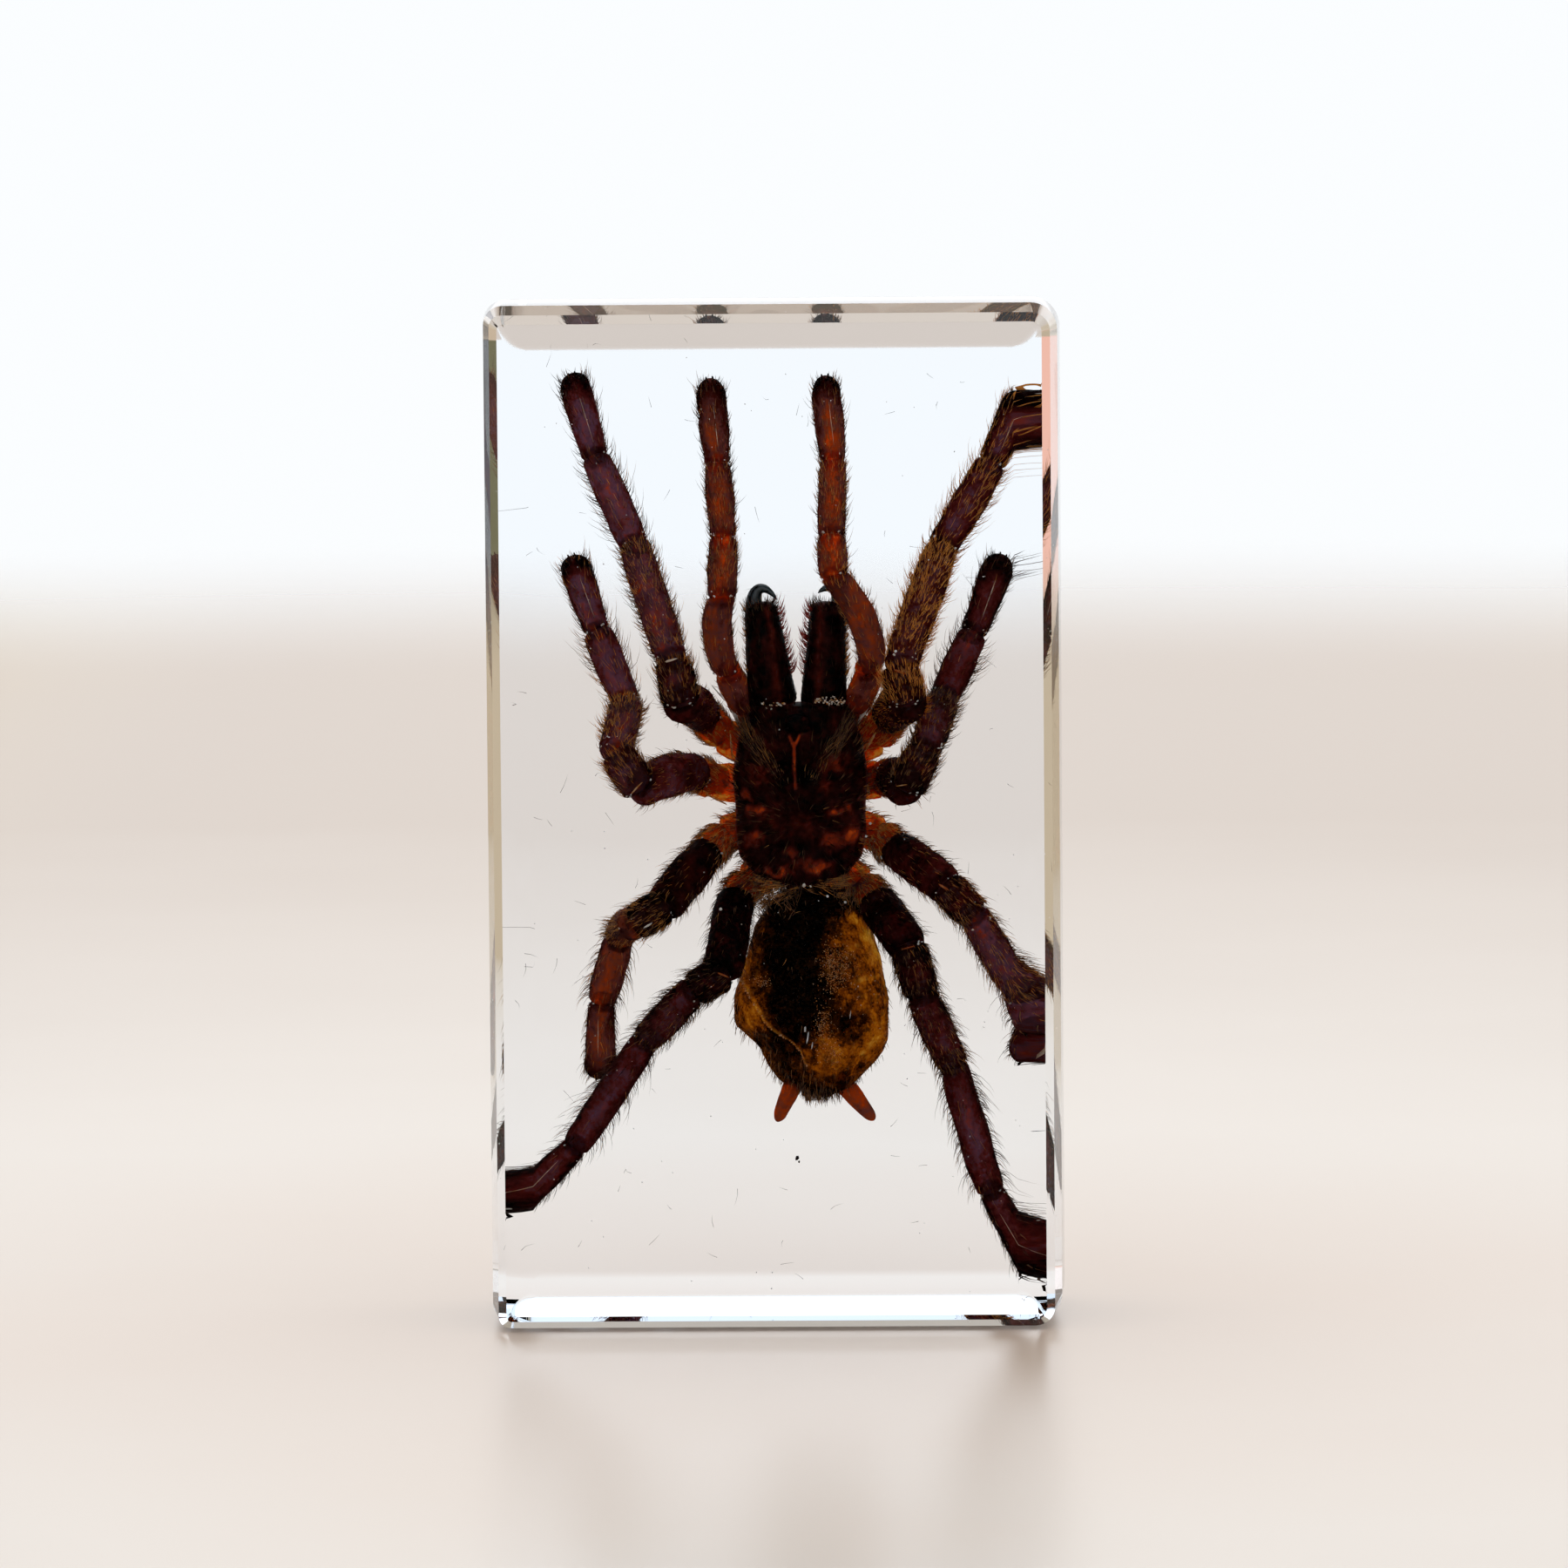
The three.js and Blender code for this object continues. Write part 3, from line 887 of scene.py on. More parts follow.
def make_carapace(material):
    """The shield with its eye mound. Gives points of its back and the directions out of it."""
    grid = carapace_surface()
    rear, front = (TRUNK_X, 0.4, CARAPACE_REAR - 0.15), (TRUNK_X, -1.2, CARAPACE_FRONT + 0.2)
    points, faces = closed_loft(grid, rear, front)
    shells = Shells()
    shells.add(points, faces, carapace_amber(points))
    mound = Segment((TRUNK_X - 1.6, -4.2, 64.7), (TRUNK_X + 1.2, -4.2, 64.7), (0.8, 1.0, 0.8))
    shells.add(*mound.shell(SEED + 7, dents=0.03), 0.0)
    for eye_x, eye_z in EYES:
        x = TRUNK_X + eye_x
        eye = Segment((x, EYE_Y, eye_z), (x, EYE_Y - EYE_DEPTH, eye_z), (0.24, 0.26, 0.22))
        shells.add(*eye.shell(SEED + 8, sides=12, rings=8, dents=0.0), 0.1)
    shells.make("carapace", material, "dark_cuticle")
    back = grid[:, :CARAPACE_COLUMNS]
    normals = unit(np.cross(np.gradient(back, axis=0), np.gradient(back, axis=1)))
    normals *= -np.sign(normals[..., 1:2])
    return back.reshape(-1, 3), normals.reshape(-1, 3)


# Hair of the carapace: in the bands, all over it and at its rim, and the place it points away from
BAND_COAT = Coat(280, 1.4, 0.075, 0.15, 0.5)
BAND_HALF_WIDTH = 0.8
THIN_COAT = Coat(700, 1.0, 0.09, 0.3, 0.3)
RIM_COAT = Coat(180, 0.9, 0.09, 0.3, 0.7)
RIM_START = 0.9
HAIR_SOURCE_Z = 54.0


def make_carapace_hairs(points, normals, material):
    """Flat-lying hair in two bands beside the head, thin hair elsewhere and a fringe round the margin."""
    hairs = Hairs(SEED + 60)
    x, z = points[:, 0] - TRUNK_X, points[:, 2]
    away = unit(np.stack([x, 0.0 * x, z - HAIR_SOURCE_Z], axis=1) + 1e-6)
    surface = (points, normals, away)
    for line in CARAPACE_BANDS:
        hairs.on_surface(surface, BAND_COAT, line_distance(x, z, line) < BAND_HALF_WIDTH)
    hairs.on_surface(surface, THIN_COAT)
    rim = np.abs(x) > carapace_half_width(carapace_share(z)) * RIM_START
    hairs.on_surface(surface, RIM_COAT, rim)
    return hairs.make("carapace_setae", material, "setae")


# Jaw bases: ends, radii, side that faces the other jaw, count of golden bristles
CHELICERAE = {
    "chelicera_left": ((0.0, 0.6, 66.0), (-1.35, 0.8, 77.6), (2.65, 2.25, 1.65), 1.0, 40),
    "chelicera_right": ((5.4, 0.6, 66.0), (6.0, 0.8, 77.6), (2.5, 2.2, 1.8), -1.0, 140),
}
# Hair of the jaw bases, with the golden bristles without their count
FRINGE_COAT = Coat(90, 1.4, 0.14, 1.6, 0.8)
JAW_COAT = Coat(160, 0.9, 0.08, 0.5, 0.22)
JAW_END_COAT = Coat(120, 0.9, 0.1, 0.8, 0.3)
JAW_BRISTLE = (0.9, 0.12, 1.2, 0.85)
# Fangs: radius at the root, and the points each curve goes through
FANG_RADIUS = 1.0
FANGS = {
    "fang_left": [(-1.7, 0.8, 76.2), (-2.0, 0.7, 77.9), (-1.2, 0.5, 79.0), (0.5, 0.2, 77.8)],
    "fang_right": [(6.7, 0.8, 76.2), (7.1, 0.7, 77.9), (6.4, 0.5, 79.0), (4.9, 0.2, 78.5)],
}


def make_chelicera(name, base, tip, widths, seed, inner, material):
    """Jaw base: a deep tapered club with a blunt end, reddish on its inner side."""
    segment = Segment(base, tip, widths, bow=0.5, flat=1.15)
    points, faces = segment.shell(seed, sides=32, rings=28, dents=0.035)
    across = (points - segment.start) @ segment.side
    streaks = lumps(points * (1.0, 1.0, 0.25), 0.6, seed + 2)
    glow = 0.05 + 0.3 * np.exp(-((across - 0.7 * inner) / 0.5) ** 2) + 0.12 * streaks
    shells = Shells()
    shells.add(points, faces, np.clip(glow, 0.0, 1.0))
    shells.make(name, material, "dark_cuticle")
    return segment


def make_jaw_hairs(name, segment, seed, inner, golden, red, brown):
    """Reddish fringe along the inner edge of a jaw base, golden bristles outside and dark hair over it."""
    fringe = Hairs(seed)
    coat = Hairs(fringe.rng)
    side = inner * math.pi / 2.0
    fringe.on_limb(segment, FRINGE_COAT, (side, 0.4), (0.3, 0.97))
    coat.on_limb(segment, JAW_COAT)
    coat.on_limb(segment, Coat(golden, *JAW_BRISTLE), (-side, 0.45), (0.3, 0.97))
    coat.on_limb(segment, JAW_END_COAT, reach=(0.9, 0.99))
    fringe.make(name + "_fringe", red, "setae")
    coat.make(name + "_setae", brown, "setae")


def make_fang(name, route, material):
    """A tapered horn along a smooth curve through a few points."""
    steps, sides = 26, 14
    route = np.array(route)
    knots = np.linspace(0.0, 1.0, len(route))
    t = np.linspace(0.0, 1.0, steps)
    degree = len(route) - 1
    centre = np.stack([np.polyval(np.polyfit(knots, route[:, axis], degree), t) for axis in range(3)], axis=1)
    along = unit(np.gradient(centre, axis=0))
    aside = unit(np.cross(along, np.array((0.0, 1.0, 0.0))))
    across = np.cross(along, aside)
    angle = 2.0 * np.pi * np.arange(sides) / sides
    size = (FANG_RADIUS * (1.0 - t) ** 0.6 + 0.03)[:, None, None]
    spokes = np.cos(angle)[None, :, None] * aside[:, None] + np.sin(angle)[None, :, None] * across[:, None]
    points, faces = closed_loft(centre[:, None] + spokes * size, centre[0], centre[-1] + along[-1] * 0.05)
    shells = Shells()
    shells.add(points, faces, 0.3)
    return shells.make(name, material, "dark_cuticle")


# Raised seam of the abdomen, from its middle
ABDOMEN_SEAM = [((-7.4, 1.6), (-4.8, -3.0)), ((-4.8, -3.0), (-3.5, -5.6)), ((-3.5, -5.6), (-0.9, -7.7))]
# Thin golden lines on the abdomen that paint highlights, from its middle
ABDOMEN_HIGHLIGHT_LINES = [
    ((3.6, 8.7), (6.3, 6.3)), ((6.3, 6.3), (7.6, 3.4)), ((7.6, 3.4), (8.0, 0.0)), ((8.0, 0.0), (7.4, -4.0)),
    ((7.4, -4.0), (5.8, -6.4)), ((4.8, 5.3), (6.6, 5.5)), ((5.2, 1.6), (7.4, 1.9)),
]
# Amber (plus) and dark (minus) areas of the abdomen: x and z from its middle, size across and along, strength
ABDOMEN_SPOTS = [
    (-1.9, 3.6, 3.3, 5.4, -0.75), (-1.2, -2.4, 3.2, 2.8, -0.5), (0.4, 9.4, 4.6, 2.0, -0.42),
    (0.5, -9.8, 6.5, 2.0, -0.1), (3.9, -3.0, 2.2, 1.4, -0.16), (3.2, 2.2, 1.8, 2.6, -0.06),
    (4.6, 8.0, 1.0, 0.6, 0.34), (6.0, 6.1, 0.8, 0.9, 0.42), (6.5, 3.8, 0.9, 1.2, 0.26),
    (6.4, -4.6, 0.9, 1.0, 0.24), (5.0, -6.6, 0.8, 0.6, 0.2),
    (-6.7, 3.8, 0.8, 2.2, 0.1), (-5.4, 1.5, 0.6, 0.5, 0.2), (-6.6, -2.4, 1.2, 1.6, 0.2),
    (1.2, -4.0, 0.9, 2.4, 0.2), (2.3, -6.4, 0.8, 1.0, 0.26),
]
# Crust on the abdomen: x and z from its middle, spread across, spread along, count, grain size, tone
CRUST_PATCHES = [
    (2.3, 3.0, 0.7, 1.4, 420, 0.07, 0.29), (3.6, 3.4, 1.0, 1.0, 260, 0.06, 0.27),
    (1.2, -3.6, 0.5, 1.4, 260, 0.06, 0.29), (2.3, -6.2, 0.5, 0.7, 140, 0.07, 0.26),
    (5.6, -0.6, 1.2, 1.8, 24, 0.09, 0.4), (-5.4, 1.5, 0.5, 0.4, 80, 0.06, 0.34),
]
# Painted highlights as glossy streaks on the abdomen: x and z from its middle, half length, half width
PAINTED_HIGHLIGHTS = [(-0.7, -3.6, 0.35, 0.14), (-0.45, -4.4, 0.8, 0.1), (-0.1, -5.4, 0.5, 0.07), (4.1, -2.2, 0.6, 0.05)]
# Points along and round the abdomen, its plain amber value, the widths of seam and highlight lines, and the
# line across its back where the fold below the seam starts
ABDOMEN_RINGS = 150
ABDOMEN_SIDES = 200
ABDOMEN_BASE = 0.47
SEAM_WIDTH = 0.26
HIGHLIGHT_LINE_WIDTH = 0.3
FOLD_SLOPE = 0.94
FOLD_START = 7.8


def fold_reach(local):
    """How far points lie beyond the line where the fold of the abdomen starts, if that is positive."""
    return -local[:, 2] - FOLD_SLOPE * local[:, 0] - FOLD_START


def abdomen_amber(local, flat, front, seam, below):
    """Amber value of the sac: amber flanks, a black middle, golden lines that paint highlights and a bright
    seam.
    """
    amber = np.full(len(local), ABDOMEN_BASE)
    for spot_x, spot_z, wide, tall, strength in ABDOMEN_SPOTS:
        across, along = (local[:, 0] - spot_x) / wide, (local[:, 2] - spot_z) / tall
        amber += strength * np.exp(-across ** 2 - along ** 2)
    amber += 0.14 * lumps(local * (1.3, 1.0, 0.6), 0.9, SEED + 23)
    amber -= 0.18 * np.exp(-(lumps(local, 1.6, SEED + 24) / 0.07) ** 2)
    # Painted highlights: golden lines on the side that faces the front
    gap = np.min([line_distance(flat[:, 0], flat[:, 2], line) for line in ABDOMEN_HIGHLIGHT_LINES], axis=0)
    highlight_lines = 0.4 * np.exp(-(gap / HIGHLIGHT_LINE_WIDTH) ** 2) * (0.7 + 0.6 * lumps(flat, 1.2, SEED + 25)) * front
    amber[:-2] = np.maximum(amber[:-2] - 0.12 * below + highlight_lines, 0.95 * seam)
    return np.clip(amber, 0.0, 1.0)


def make_abdomen(material):
    """Shrunken sac with folds and a raised seam. Gives its points, the directions out of it and how near the
    seam each point is."""
    polar = np.pi * np.arange(1, ABDOMEN_RINGS) / ABDOMEN_RINGS
    angle = 2.0 * np.pi * np.arange(ABDOMEN_SIDES) / ABDOMEN_SIDES
    grid_polar, grid_angle = np.meshgrid(polar, angle, indexing="ij")
    half = np.array(ABDOMEN_HALF)
    centre = np.array(ABDOMEN_CENTRE)
    down = np.cos(grid_polar)
    belly = np.sin(grid_polar) ** 0.8 * (1.0 - 0.1 * down)
    places = np.stack([np.cos(grid_angle) * belly, np.sin(grid_angle) * belly, down], axis=-1) * half
    flat = places.reshape(-1, 3)
    swell = 0.4 * lumps(flat, 5.0, SEED + 20) + 0.2 * lumps(flat, 1.8, SEED + 21)
    swell += 0.06 * lumps(flat, 0.7, SEED + 22)
    front = smooth_step(0.3, -0.3, flat[:, 1])
    gap = np.min([line_distance(flat[:, 0], flat[:, 2], line) for line in ABDOMEN_SEAM], axis=0)
    seam = np.exp(-(gap / SEAM_WIDTH) ** 2) * front
    below = smooth_step(-0.4, 1.2, fold_reach(flat)) * smooth_step(-3.6, -5.0, flat[:, 2])
    swell += 0.35 * seam - 0.6 * below * front
    outward = unit(flat / half ** 2)
    tuck = 2.0 * smooth_step(-2.6, -6.2, flat[:, 2]) * smooth_step(0.0, -4.0, flat[:, 0])
    tuck -= 0.8 * smooth_step(-3.5, -9.5, flat[:, 2]) * smooth_step(0.0, 4.0, flat[:, 0])
    shaped = flat + outward * swell[:, None] + tuck[:, None] * np.array((1.0, 0.0, 0.0))
    moved = shaped.reshape(places.shape) + centre
    points, faces = closed_loft(moved, centre + (0, 0, half[2]), centre - (0, 0, half[2]))
    shells = Shells()
    shells.add(points, faces, abdomen_amber(points - centre, flat, front, seam, below))
    shells.make("abdomen", material, "amber_skin")
    return moved.reshape(-1, 3), outward, seam


# Hair of the abdomen: on the fold, at its rear, at its edges, all over it and at the waist
FOLD_COAT = Coat(380, 1.0, 0.09, 0.6, 0.55)
REAR_COAT = Coat(260, 0.8, 0.09, 0.7, 0.5)
EDGE_COAT = Coat(300, 0.7, 0.08, 0.9, 0.65)
SAC_COAT = Coat(500, 0.7, 0.08, 0.4, 0.4)
RUFF_COAT = Coat(420, 1.6, 0.1, 0.7, 0.5)
RUFF_MESS = 0.7


def make_abdomen_hairs(points, normals, material):
    """Hair on the fold, round the rear and the edges, all over the sac and as a ruff at the waist."""
    hairs = Hairs(SEED + 61)
    local = points - np.array(ABDOMEN_CENTRE)
    rearward = np.tile((0.0, 0.0, -1.0), (len(points), 1))
    surface = (points, normals, rearward)
    fold = (fold_reach(local) > 0.0) & (local[:, 1] < 2.0)
    hairs.on_surface(surface, FOLD_COAT, fold)
    hairs.on_surface(surface, REAR_COAT, local[:, 2] < -8.8)
    hairs.on_surface(surface, EDGE_COAT, np.abs(normals[:, 1]) < 0.35)
    hairs.on_surface(surface, SAC_COAT)
    ruff = (local[:, 2] > 8.0) & (np.abs(local[:, 0] - 0.5) > 2.0)
    hairs.on_surface((points, normals, -rearward), RUFF_COAT, ruff, RUFF_MESS)
    return hairs.make("abdomen_setae", material, "setae")


# Golden grains that paint glints on the ridge of the seam: how near it they lie and how many, and how far
# grains stand off
RIDGE_SHARE = 0.8
RIDGE_GLINTS = 130
GRAIN_LIFT = 0.03


def make_crust_and_glints(points, normals, seam, material):
    """Pale crust grains, golden grains along the seam that paint its glints, and glossy streaks on the back
    of the abdomen that paint highlights.
    """
    flakes = Flakes(SEED + 71)
    rng = flakes.rng
    on_seam = seam > RIDGE_SHARE
    ridge = points[on_seam] + GRAIN_LIFT * normals[on_seam]
    facing = normals[:, 1] < -0.1
    points, normals = points[facing], normals[facing]

    def on_surface(x, z):
        gaps = np.hypot(points[None, :, 0] - ABDOMEN_CENTRE[0] - x[:, None],
                        points[None, :, 2] - ABDOMEN_CENTRE[2] - z[:, None])
        nearest = gaps.argmin(axis=1)
        return points[nearest] + GRAIN_LIFT * normals[nearest]

    for x, z, wide, tall, count, size, tone in CRUST_PATCHES:
        centres = on_surface(x + wide * rng.normal(size=count), z + tall * rng.normal(size=count))
        centres += 0.08 * rng.normal(size=(count, 3)) * (1.0, 0.1, 1.0)
        flakes.add(centres, size * rng.uniform(0.4, 1.3, (count, 3)), tone + 0.08 * rng.normal(size=count))
    # Golden grains on the ridge of the seam: painted glints
    glints = ridge[rng.integers(0, len(ridge), RIDGE_GLINTS)]
    sizes = rng.uniform(0.04, 0.16, (RIDGE_GLINTS, 3))
    flakes.add(glints, sizes, 0.3 + 0.06 * rng.normal(size=RIDGE_GLINTS))
    # Glossy streaks: painted highlights
    x, z, long, wide = np.array(PAINTED_HIGHLIGHTS).T
    lean = np.tile((0.15, 0.0, 1.0), (len(x), 1))
    flakes.add(on_surface(x, z), np.stack([long, wide, wide], axis=1), 0.95, lean)
    return flakes.make("abdomen_crust_and_glints", material, "air_film")


SPINNERETS = [((2.3, 0.8, 26.4), (0.0, 1.8, 21.2)), ((6.6, 0.8, 26.2), (10.55, 1.8, 21.3))]
SPINNERET_RADII = (1.1, 0.95, 0.55)
SPINNERET_AMBER = 0.64


def make_spinnerets(material):
    shells = Shells()
    for index, (base, tip) in enumerate(SPINNERETS):
        seed = SEED + 31 + index
        part = Segment(base, tip, SPINNERET_RADII, blunt=1.2)
        points, faces = part.shell(seed, sides=18, rings=24)
        shells.add(points, faces, part.glow(points, SPINNERET_AMBER, seed))
    return shells.make("spinnerets", material, "dark_cuticle")


def make_underside(material):
    """Sternum, lip and waist, seen from behind the block."""
    shells = Shells()
    sternum = Segment((TRUNK_X, 3.4, 48.6), (TRUNK_X, 3.6, 61.8), (2.6, 3.5, 2.6), flat=0.34)
    shells.add(*sternum.shell(SEED + 41, sides=36, rings=26, dents=0.03), 0.2)
    lip = Segment((TRUNK_X, 3.4, 61.6), (TRUNK_X, 3.2, 63.8), (1.2, 1.3, 1.0), flat=0.6)
    shells.add(*lip.shell(SEED + 42, sides=20, rings=12), 0.3)
    waist = Segment((TRUNK_X, 1.4, 48.6), (TRUNK_X + 0.4, 0.8, 45.4), (1.8, 1.7, 1.9))
    shells.add(*waist.shell(SEED + 43, sides=24, rings=14), 0.35)
    return shells.make("sternum_and_waist", material, "dark_cuticle")


# Painted glints of films of air at the knees and beside the front coxae, as bright flakes: two ends,
# thickness, tone from red (0) to white (1)
GLINT_FILMS = [
    ((-11.6, -9.4, 71.7), (-10.0, -9.5, 72.1), 0.16, 0.55),
    ((12.9, -9.7, 70.8), (14.5, -9.6, 70.2), 0.14, 0.12),
    ((-15.2, -8.9, 57.5), (-13.9, -8.9, 58.9), 0.2, 0.35),
    ((13.1, -9.1, 58.2), (14.5, -9.2, 58.4), 0.14, 0.3),
    ((-14.1, -8.1, 43.0), (-13.0, -8.1, 43.6), 0.2, 0.75),
    ((17.6, -7.4, 47.6), (18.8, -7.3, 46.8), 0.15, 0.1),
    ((-6.3, -7.2, 38.2), (-4.8, -7.2, 37.5), 0.13, 0.1),
    ((-14.4, -2.0, 30.3), (-13.5, -2.0, 31.1), 0.18, 0.85),
    ((13.4, -7.2, 40.4), (15.2, -7.2, 40.9), 0.13, 0.08),
    ((-4.8, 0.0, 66.9), (-3.4, 0.4, 63.8), 0.22, 0.6),
    ((11.9, 0.2, 69.2), (8.9, 0.2, 64.2), 0.3, 0.68),
    ((-6.6, 0.4, 68.6), (-4.9, 0.4, 66.6), 0.16, 0.8),
    ((9.5, 0.2, 60.9), (11.4, 0.0, 64.2), 0.3, 0.3),
    ((9.8, 0.6, 58.6), (10.3, 0.6, 56.4), 0.28, 0.34),
    ((-4.7, 0.5, 63.8), (-4.4, 0.5, 60.4), 0.24, 0.32),
    ((-7.6, 0.6, 57.0), (-4.8, 0.6, 55.6), 0.26, 0.3),
]
# Rows of crumbs at the hinges of the jaws: lowest x, highest x, z, count
JAW_CRUMBS = [(-1.2, 1.4, 66.75, 22), (4.3, 7.7, 67.1, 70)]
# Bright specks on the front body and at the waist, some of them painted glints, such as those on the eyes:
# place, size, tone
SPECKS_AND_GLINTS = [
    ((3.2, -3.4, 47.2), 0.24, 0.62), ((3.9, -3.4, 47.1), 0.12, 0.6), ((5.7, -3.2, 46.0), 0.2, 0.9),
    ((7.6, -2.8, 45.3), 0.16, 0.8), ((-5.8, -3.6, 44.7), 0.2, 0.8), ((0.7, -4.9, 64.1), 0.1, 0.8),
    ((3.1, -4.9, 64.2), 0.1, 0.85), ((3.7, -4.8, 64.1), 0.09, 0.8), ((9.9, -1.2, 52.3), 0.16, 0.9),
    ((10.3, 0.2, 53.6), 0.2, 0.95),
]


def add_film(flakes, start, end, thick, tone):
    """One thin scrap stretched between two points."""
    half = 0.5 * np.linalg.norm(end - start)
    flakes.add((start + end)[None] / 2.0, np.array([(half, thick, 0.5 * thick)]), tone, (end - start)[None])


def make_glints_and_crumbs(limbs, material):
    """Painted glints as bright flakes: air films at the knees and the tips and glittering scraps on the
    limbs; also crumbs at the jaw hinges.
    """
    flakes = Flakes(SEED + 70)
    rng = flakes.rng
    for start, end, thick, tone in GLINT_FILMS:
        add_film(flakes, np.array(start), np.array(end), thick, tone)
    for place, size, tone in SPECKS_AND_GLINTS:
        flakes.add(np.array([place]), np.full((1, 3), size), tone)
    for low, high, height, count in JAW_CRUMBS:
        centres = np.stack([rng.uniform(low, high, count), rng.uniform(-4.4, -3.6, count),
                            height + 0.2 * rng.normal(size=count)], axis=1)
        flakes.add(centres, rng.uniform(0.03, 0.15, (count, 3)), rng.uniform(0.3, 0.75, count))
    # Painted glints and sheen on each limb: a streak on its tip, small specks over each segment and larger
    # ones at its near joint
    for segments in limbs:
        tip = segments[-1][1]
        start, end = tip.surface(np.array((0.15, 0.72)), np.array((0.2, 0.1))) + 0.06 * tip.back
        add_film(flakes, start, end, 0.06, 0.5)
        for _, segment, _, _ in segments[1:]:
            centres = segment.surface(rng.uniform(0.0, 1.0, 4), rng.uniform(-1.8, 1.8, 4))
            flakes.add(centres, rng.uniform(0.03, 0.1, (4, 3)), rng.uniform(0.45, 1.0, 4))
            sides = rng.choice((-1.0, 1.0), 6) * rng.uniform(0.5, 1.9, 6)
            centres = segment.surface(rng.uniform(0.02, 0.1, 6), sides)
            flakes.add(centres, rng.uniform(0.05, 0.2, (6, 3)), rng.uniform(0.6, 1.0, 6))
    return flakes.make("glints_and_crumbs", material, "air_film")


# Hair at the waist: two tufts, and hair on the bases of the rear legs
TUFT_COAT = Coat(600, 1.3, 0.11, 1.4, 0.78)
TUFT_RADII = (1.6, 1.6, 1.2)
LEG_BASE_COAT = Coat(260, 1.1, 0.11, 1.1, 0.78)
REAR_LEGS = ("leg_3_left", "leg_3_right", "leg_4_left", "leg_4_right")


def make_waist_hairs(limbs, material):
    """Golden hair that fills the gap between the front body, the rear leg bases and the abdomen."""
    hairs = Hairs(SEED + 64)
    for side in (-1.0, 1.0):
        tuft = Segment((TRUNK_X, 0.2, 47.2), (TRUNK_X + 4.6 * side, 0.4, 46.2), TUFT_RADII)
        hairs.on_limb(tuft, TUFT_COAT)
    for name in REAR_LEGS:
        for _, segment, _, _ in limbs[name][:2]:
            hairs.on_limb(segment, LEG_BASE_COAT)
    return hairs.make("waist_setae", material, "setae")


# Box in which stray hairs and specks float, and a dark grain of two bodies: places and half sizes
FLOAT_LOW = (-28.0, -11.0, 3.0)
FLOAT_HIGH = (28.0, 11.0, 106.0)
STRAY_COUNT = 130
STRAY_WIDTH = 0.05
STRAY_TONE = 0.1
SPECK_COUNT = 110
GRAIN_PLACES = [(2.25, -6.0, 17.9), (2.45, -5.8, 17.5)]
GRAIN_SIZES = [(0.3, 0.26, 0.24), (0.16, 0.12, 0.12)]


def make_inclusions(setae, flake_and_glint_skin):
    """Stray hairs, white specks and a dark grain that float in the resin."""
    strays = Hairs(SEED + 80)
    rng = strays.rng
    roots = rng.uniform(FLOAT_LOW, FLOAT_HIGH, (STRAY_COUNT, 3))
    directions = unit(rng.normal(size=(STRAY_COUNT, 3)) * (1.0, 0.4, 1.0))
    bends = 0.35 * rng.normal(size=(STRAY_COUNT, 3))
    lengths = rng.uniform(0.5, 1.7, STRAY_COUNT)
    strays.add(roots, directions, bends, lengths, STRAY_WIDTH, np.full(STRAY_COUNT, STRAY_TONE))
    strays.make("stray_hairs", setae, "setae")
    specks = Flakes(SEED + 81)
    places = rng.uniform(FLOAT_LOW, FLOAT_HIGH, (SPECK_COUNT, 3))
    specks.add(places, rng.uniform(0.04, 0.1, (SPECK_COUNT, 3)), 1.0)
    specks.make("white_specks", flake_and_glint_skin, "air_film")
    grain = Flakes(SEED + 82)
    grain.add(np.array(GRAIN_PLACES), np.array(GRAIN_SIZES), 0.0)
    grain.make("dark_grain", setae, "setae")


# The camera, and the photo's size and focal length in pixels
CAMERA_PLACE = (22.0, -1163.5, 170.0)
CAMERA_AIM = (1.25, -13.5, 58.8)
CAMERA_ROLL = math.radians(0.45)
PHOTO_SIDE = 1800.0
FOCAL_PIXELS = 12430.0
SENSOR = 36.0


def make_camera():
    camera = bpy.data.objects.new("camera", bpy.data.cameras.new("camera"))
    bpy.context.collection.objects.link(camera)
    camera.data.sensor_width = SENSOR
    camera.data.lens = SENSOR * FOCAL_PIXELS / PHOTO_SIDE
    camera.data.clip_start = 0.05
    camera.data.clip_end = 50.0
    place, aim = Vector(CAMERA_PLACE) * MM, Vector(CAMERA_AIM) * MM
    turn = (aim - place).to_track_quat("-Z", "Y").to_matrix() @ Matrix.Rotation(-CAMERA_ROLL, 3, "Z")
    camera.matrix_world = Matrix.Translation(place) @ turn.to_4x4()
    bpy.context.scene.camera = camera


# The floor, its colours by distance from the block, and where it turns to the colour of its sides
FLOOR_DROP = 0.3
FLOOR_HALF = 3000.0
FLOOR_FADE = (800.0, 1150.0)
FLOOR_NEAR = (0.58, 0.46, 0.37)
FLOOR_MIDDLE = (0.61, 0.54, 0.47)
FLOOR_FAR = (0.4, 0.3, 0.22)
FLOOR_SIDE = (0.5, 0.4, 0.28)
FLOOR_SIDE_REACH = (110.0, 190.0)


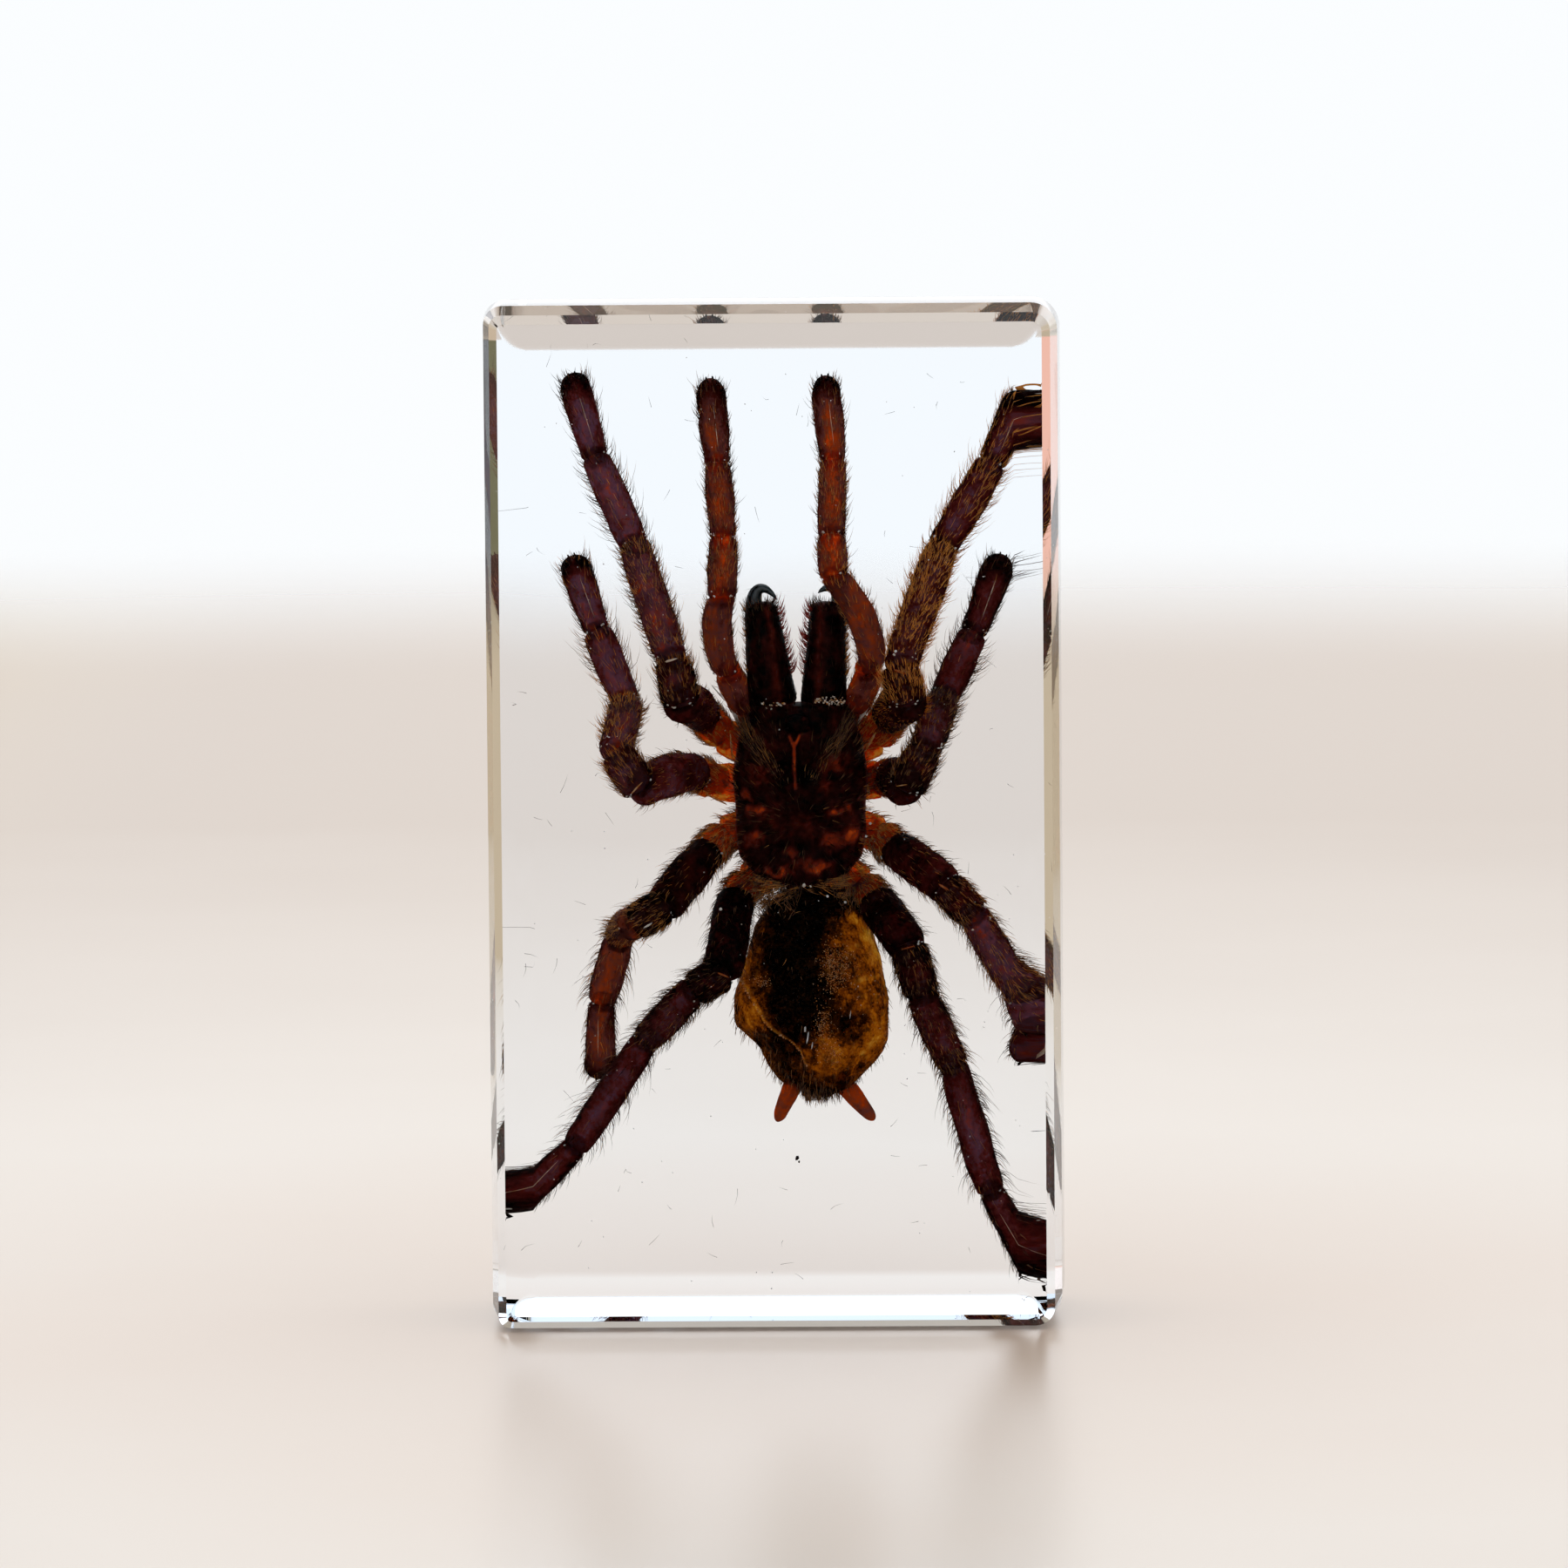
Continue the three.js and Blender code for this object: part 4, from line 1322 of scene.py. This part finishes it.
def make_floor():
    """Pale floor, warmer near the block and tan far to its sides, that fades into the background."""
    corners = np.array([(-1, -1, 0), (1, -1, 0), (1, 1, 0), (-1, 1, 0)]) * FLOOR_HALF * MM
    mesh = bpy.data.meshes.new("floor")
    mesh.from_pydata(corners.tolist(), [], [(0, 1, 2, 3)])
    floor = bpy.data.objects.new("floor", mesh)
    floor.location.z = -FLOOR_DROP * MM
    bpy.context.collection.objects.link(floor)
    material, tree, output = new_material("pale_floor")
    place = node(tree, "ShaderNodeNewGeometry").outputs["Position"]
    distance = node(tree, "ShaderNodeVectorMath", {0: place}, operation="LENGTH").outputs["Value"]
    drift = maths(tree, "MULTIPLY_ADD", noise(tree, place, 9.0, 3.0), 0.12, distance)
    colour = ramp(tree, drift, [(0.1, FLOOR_NEAR), (0.22, FLOOR_MIDDLE), (0.6, FLOOR_FAR)])
    aside = maths(tree, "ABSOLUTE", node(tree, "ShaderNodeSeparateXYZ", {"Vector": place}).outputs["X"])
    edge = fade(tree, aside, FLOOR_SIDE_REACH[0] * MM, FLOOR_SIDE_REACH[1] * MM)
    gloss = node(tree, "ShaderNodeMapRange", {"Value": edge, "To Min": 0.5, "To Max": 0.0})
    surface = node(tree, "ShaderNodeBsdfPrincipled", {
        "Base Color": mix_colours(tree, edge, colour, (*FLOOR_SIDE, 1.0)), "Roughness": 0.3,
        "Specular IOR Level": gloss.outputs[0]})
    clear = node(tree, "ShaderNodeBsdfTransparent")
    gone = fade(tree, distance, FLOOR_FADE[0] * MM, FLOOR_FADE[1] * MM)
    both = node(tree, "ShaderNodeMixShader", {"Fac": gone, 1: surface.outputs[0], 2: clear.outputs[0]})
    tree.links.new(both.outputs[0], output.inputs["Surface"])
    mesh.materials.append(material)


# Light by bearing in degrees: 0 is behind the block, 90 at the viewer's right
WHITE = (0.965, 0.985, 1.0)
BEARINGS = [
    (-180, (1.2, 1.2, 1.2)), (-95, (1.0, 0.97, 0.95)), (-70, (0.95, 0.5, 0.38)), (-37, (0.97, 0.54, 0.42)),
    (-26, (0.2, 0.2, 0.22)), (-17, (0.2, 0.2, 0.22)), (-13, WHITE), (20, WHITE), (34, (0.12, 0.14, 0.07)),
    (60, (0.1, 0.1, 0.07)), (78, (0.12, 0.12, 0.12)), (100, (0.9, 0.9, 0.9)), (180, (1.2, 1.2, 1.2)),
]
# Light above the horizon by the sine of the elevation, behind the block and in front of it
SKY_BEHIND = [(0.03, (1.5, 1.52, 1.55)), (0.3, (1.5, 1.52, 1.55)), (0.36, (0.42, 0.36, 0.29)),
              (0.54, (0.42, 0.36, 0.29)), (0.64, (1.4, 1.4, 1.4)), (1.0, (1.4, 1.4, 1.4))]
SKY_FRONT = (1.1, 1.11, 1.13)


def make_light():
    """Soft white light from all round, with a warm part behind on the left and a dark one on the right."""
    world = bpy.data.worlds.new("studio")
    bpy.context.scene.world = world
    world.use_nodes = True
    tree = world.node_tree
    tree.nodes.clear()
    way = node(tree, "ShaderNodeTexCoord").outputs["Generated"]
    parts = node(tree, "ShaderNodeSeparateXYZ", {"Vector": way})
    bearing = maths(tree, "ARCTAN2", parts.outputs["X"], parts.outputs["Y"])
    turn = maths(tree, "MULTIPLY_ADD", bearing, 0.5 / math.pi, 0.5)
    level = ramp(tree, turn, [(0.5 + degrees / 360.0, colour) for degrees, colour in BEARINGS])
    above = ramp(tree, parts.outputs["Z"], SKY_BEHIND)
    behind = fade(tree, parts.outputs["Y"], -0.2, 0.2)
    sky = mix_colours(tree, behind, (*SKY_FRONT, 1.0), above)
    lift = fade(tree, parts.outputs["Z"], 0.0, 0.06)
    colour = mix_colours(tree, lift, level, sky)
    background = node(tree, "ShaderNodeBackground", {"Color": colour, "Strength": 1.0})
    output = node(tree, "ShaderNodeOutputWorld")
    tree.links.new(background.outputs[0], output.inputs["Surface"])


def make_spider(skins):
    cuticle, palp, shield = skins["dark_cuticle"], skins["palp_cuticle"], skins["shield_cuticle"]
    setae, flake_and_glint_skin = skins["setae"], skins["air_film"]
    limbs = {}
    for joints_by_name, kinds in ((LEG_JOINTS, LEG_SEGMENTS), (PALP_JOINTS, PALP_SEGMENTS)):
        for name, joints in joints_by_name.items():
            limbs[name] = limb_segments(name, joints, kinds)
    for index, (name, segments) in enumerate(limbs.items()):
        make_limb(name, segments, SEED + 100 * (index + 1), palp if name in BROWN_LIMBS else cuticle)
        make_limb_hairs(name, segments, SEED + index, setae)
    make_waist_hairs(limbs, setae)
    make_carapace_hairs(*make_carapace(shield), setae)
    for name, (base, tip, radii, inner, golden) in CHELICERAE.items():
        segment = make_chelicera(name, base, tip, radii, SEED + 51, inner, shield)
        make_jaw_hairs(name, segment, SEED + 62 + int(inner), inner, golden, skins["red_setae"], setae)
    for name, route in FANGS.items():
        make_fang(name, route, skins["fang_horn"])
    abdomen = make_abdomen(skins["amber_skin"])
    make_abdomen_hairs(*abdomen[:2], setae)
    make_crust_and_glints(*abdomen, flake_and_glint_skin)
    make_spinnerets(palp)
    make_underside(cuticle)
    make_glints_and_crumbs(limbs.values(), flake_and_glint_skin)


def set_view():
    scene = bpy.context.scene
    scene.view_settings.view_transform = "Standard"
    scene.cycles.use_denoising = True
    scene.cycles.max_bounces = 16
    scene.cycles.transmission_bounces = 14
    scene.cycles.transparent_max_bounces = 24


make_camera()
set_view()
make_light()
make_floor()
make_block(resin_material())
skin_materials = {name: skin_material(name, **look) for name, look in SKINS.items()}
make_spider(skin_materials)
make_inclusions(skin_materials["setae"], skin_materials["air_film"])
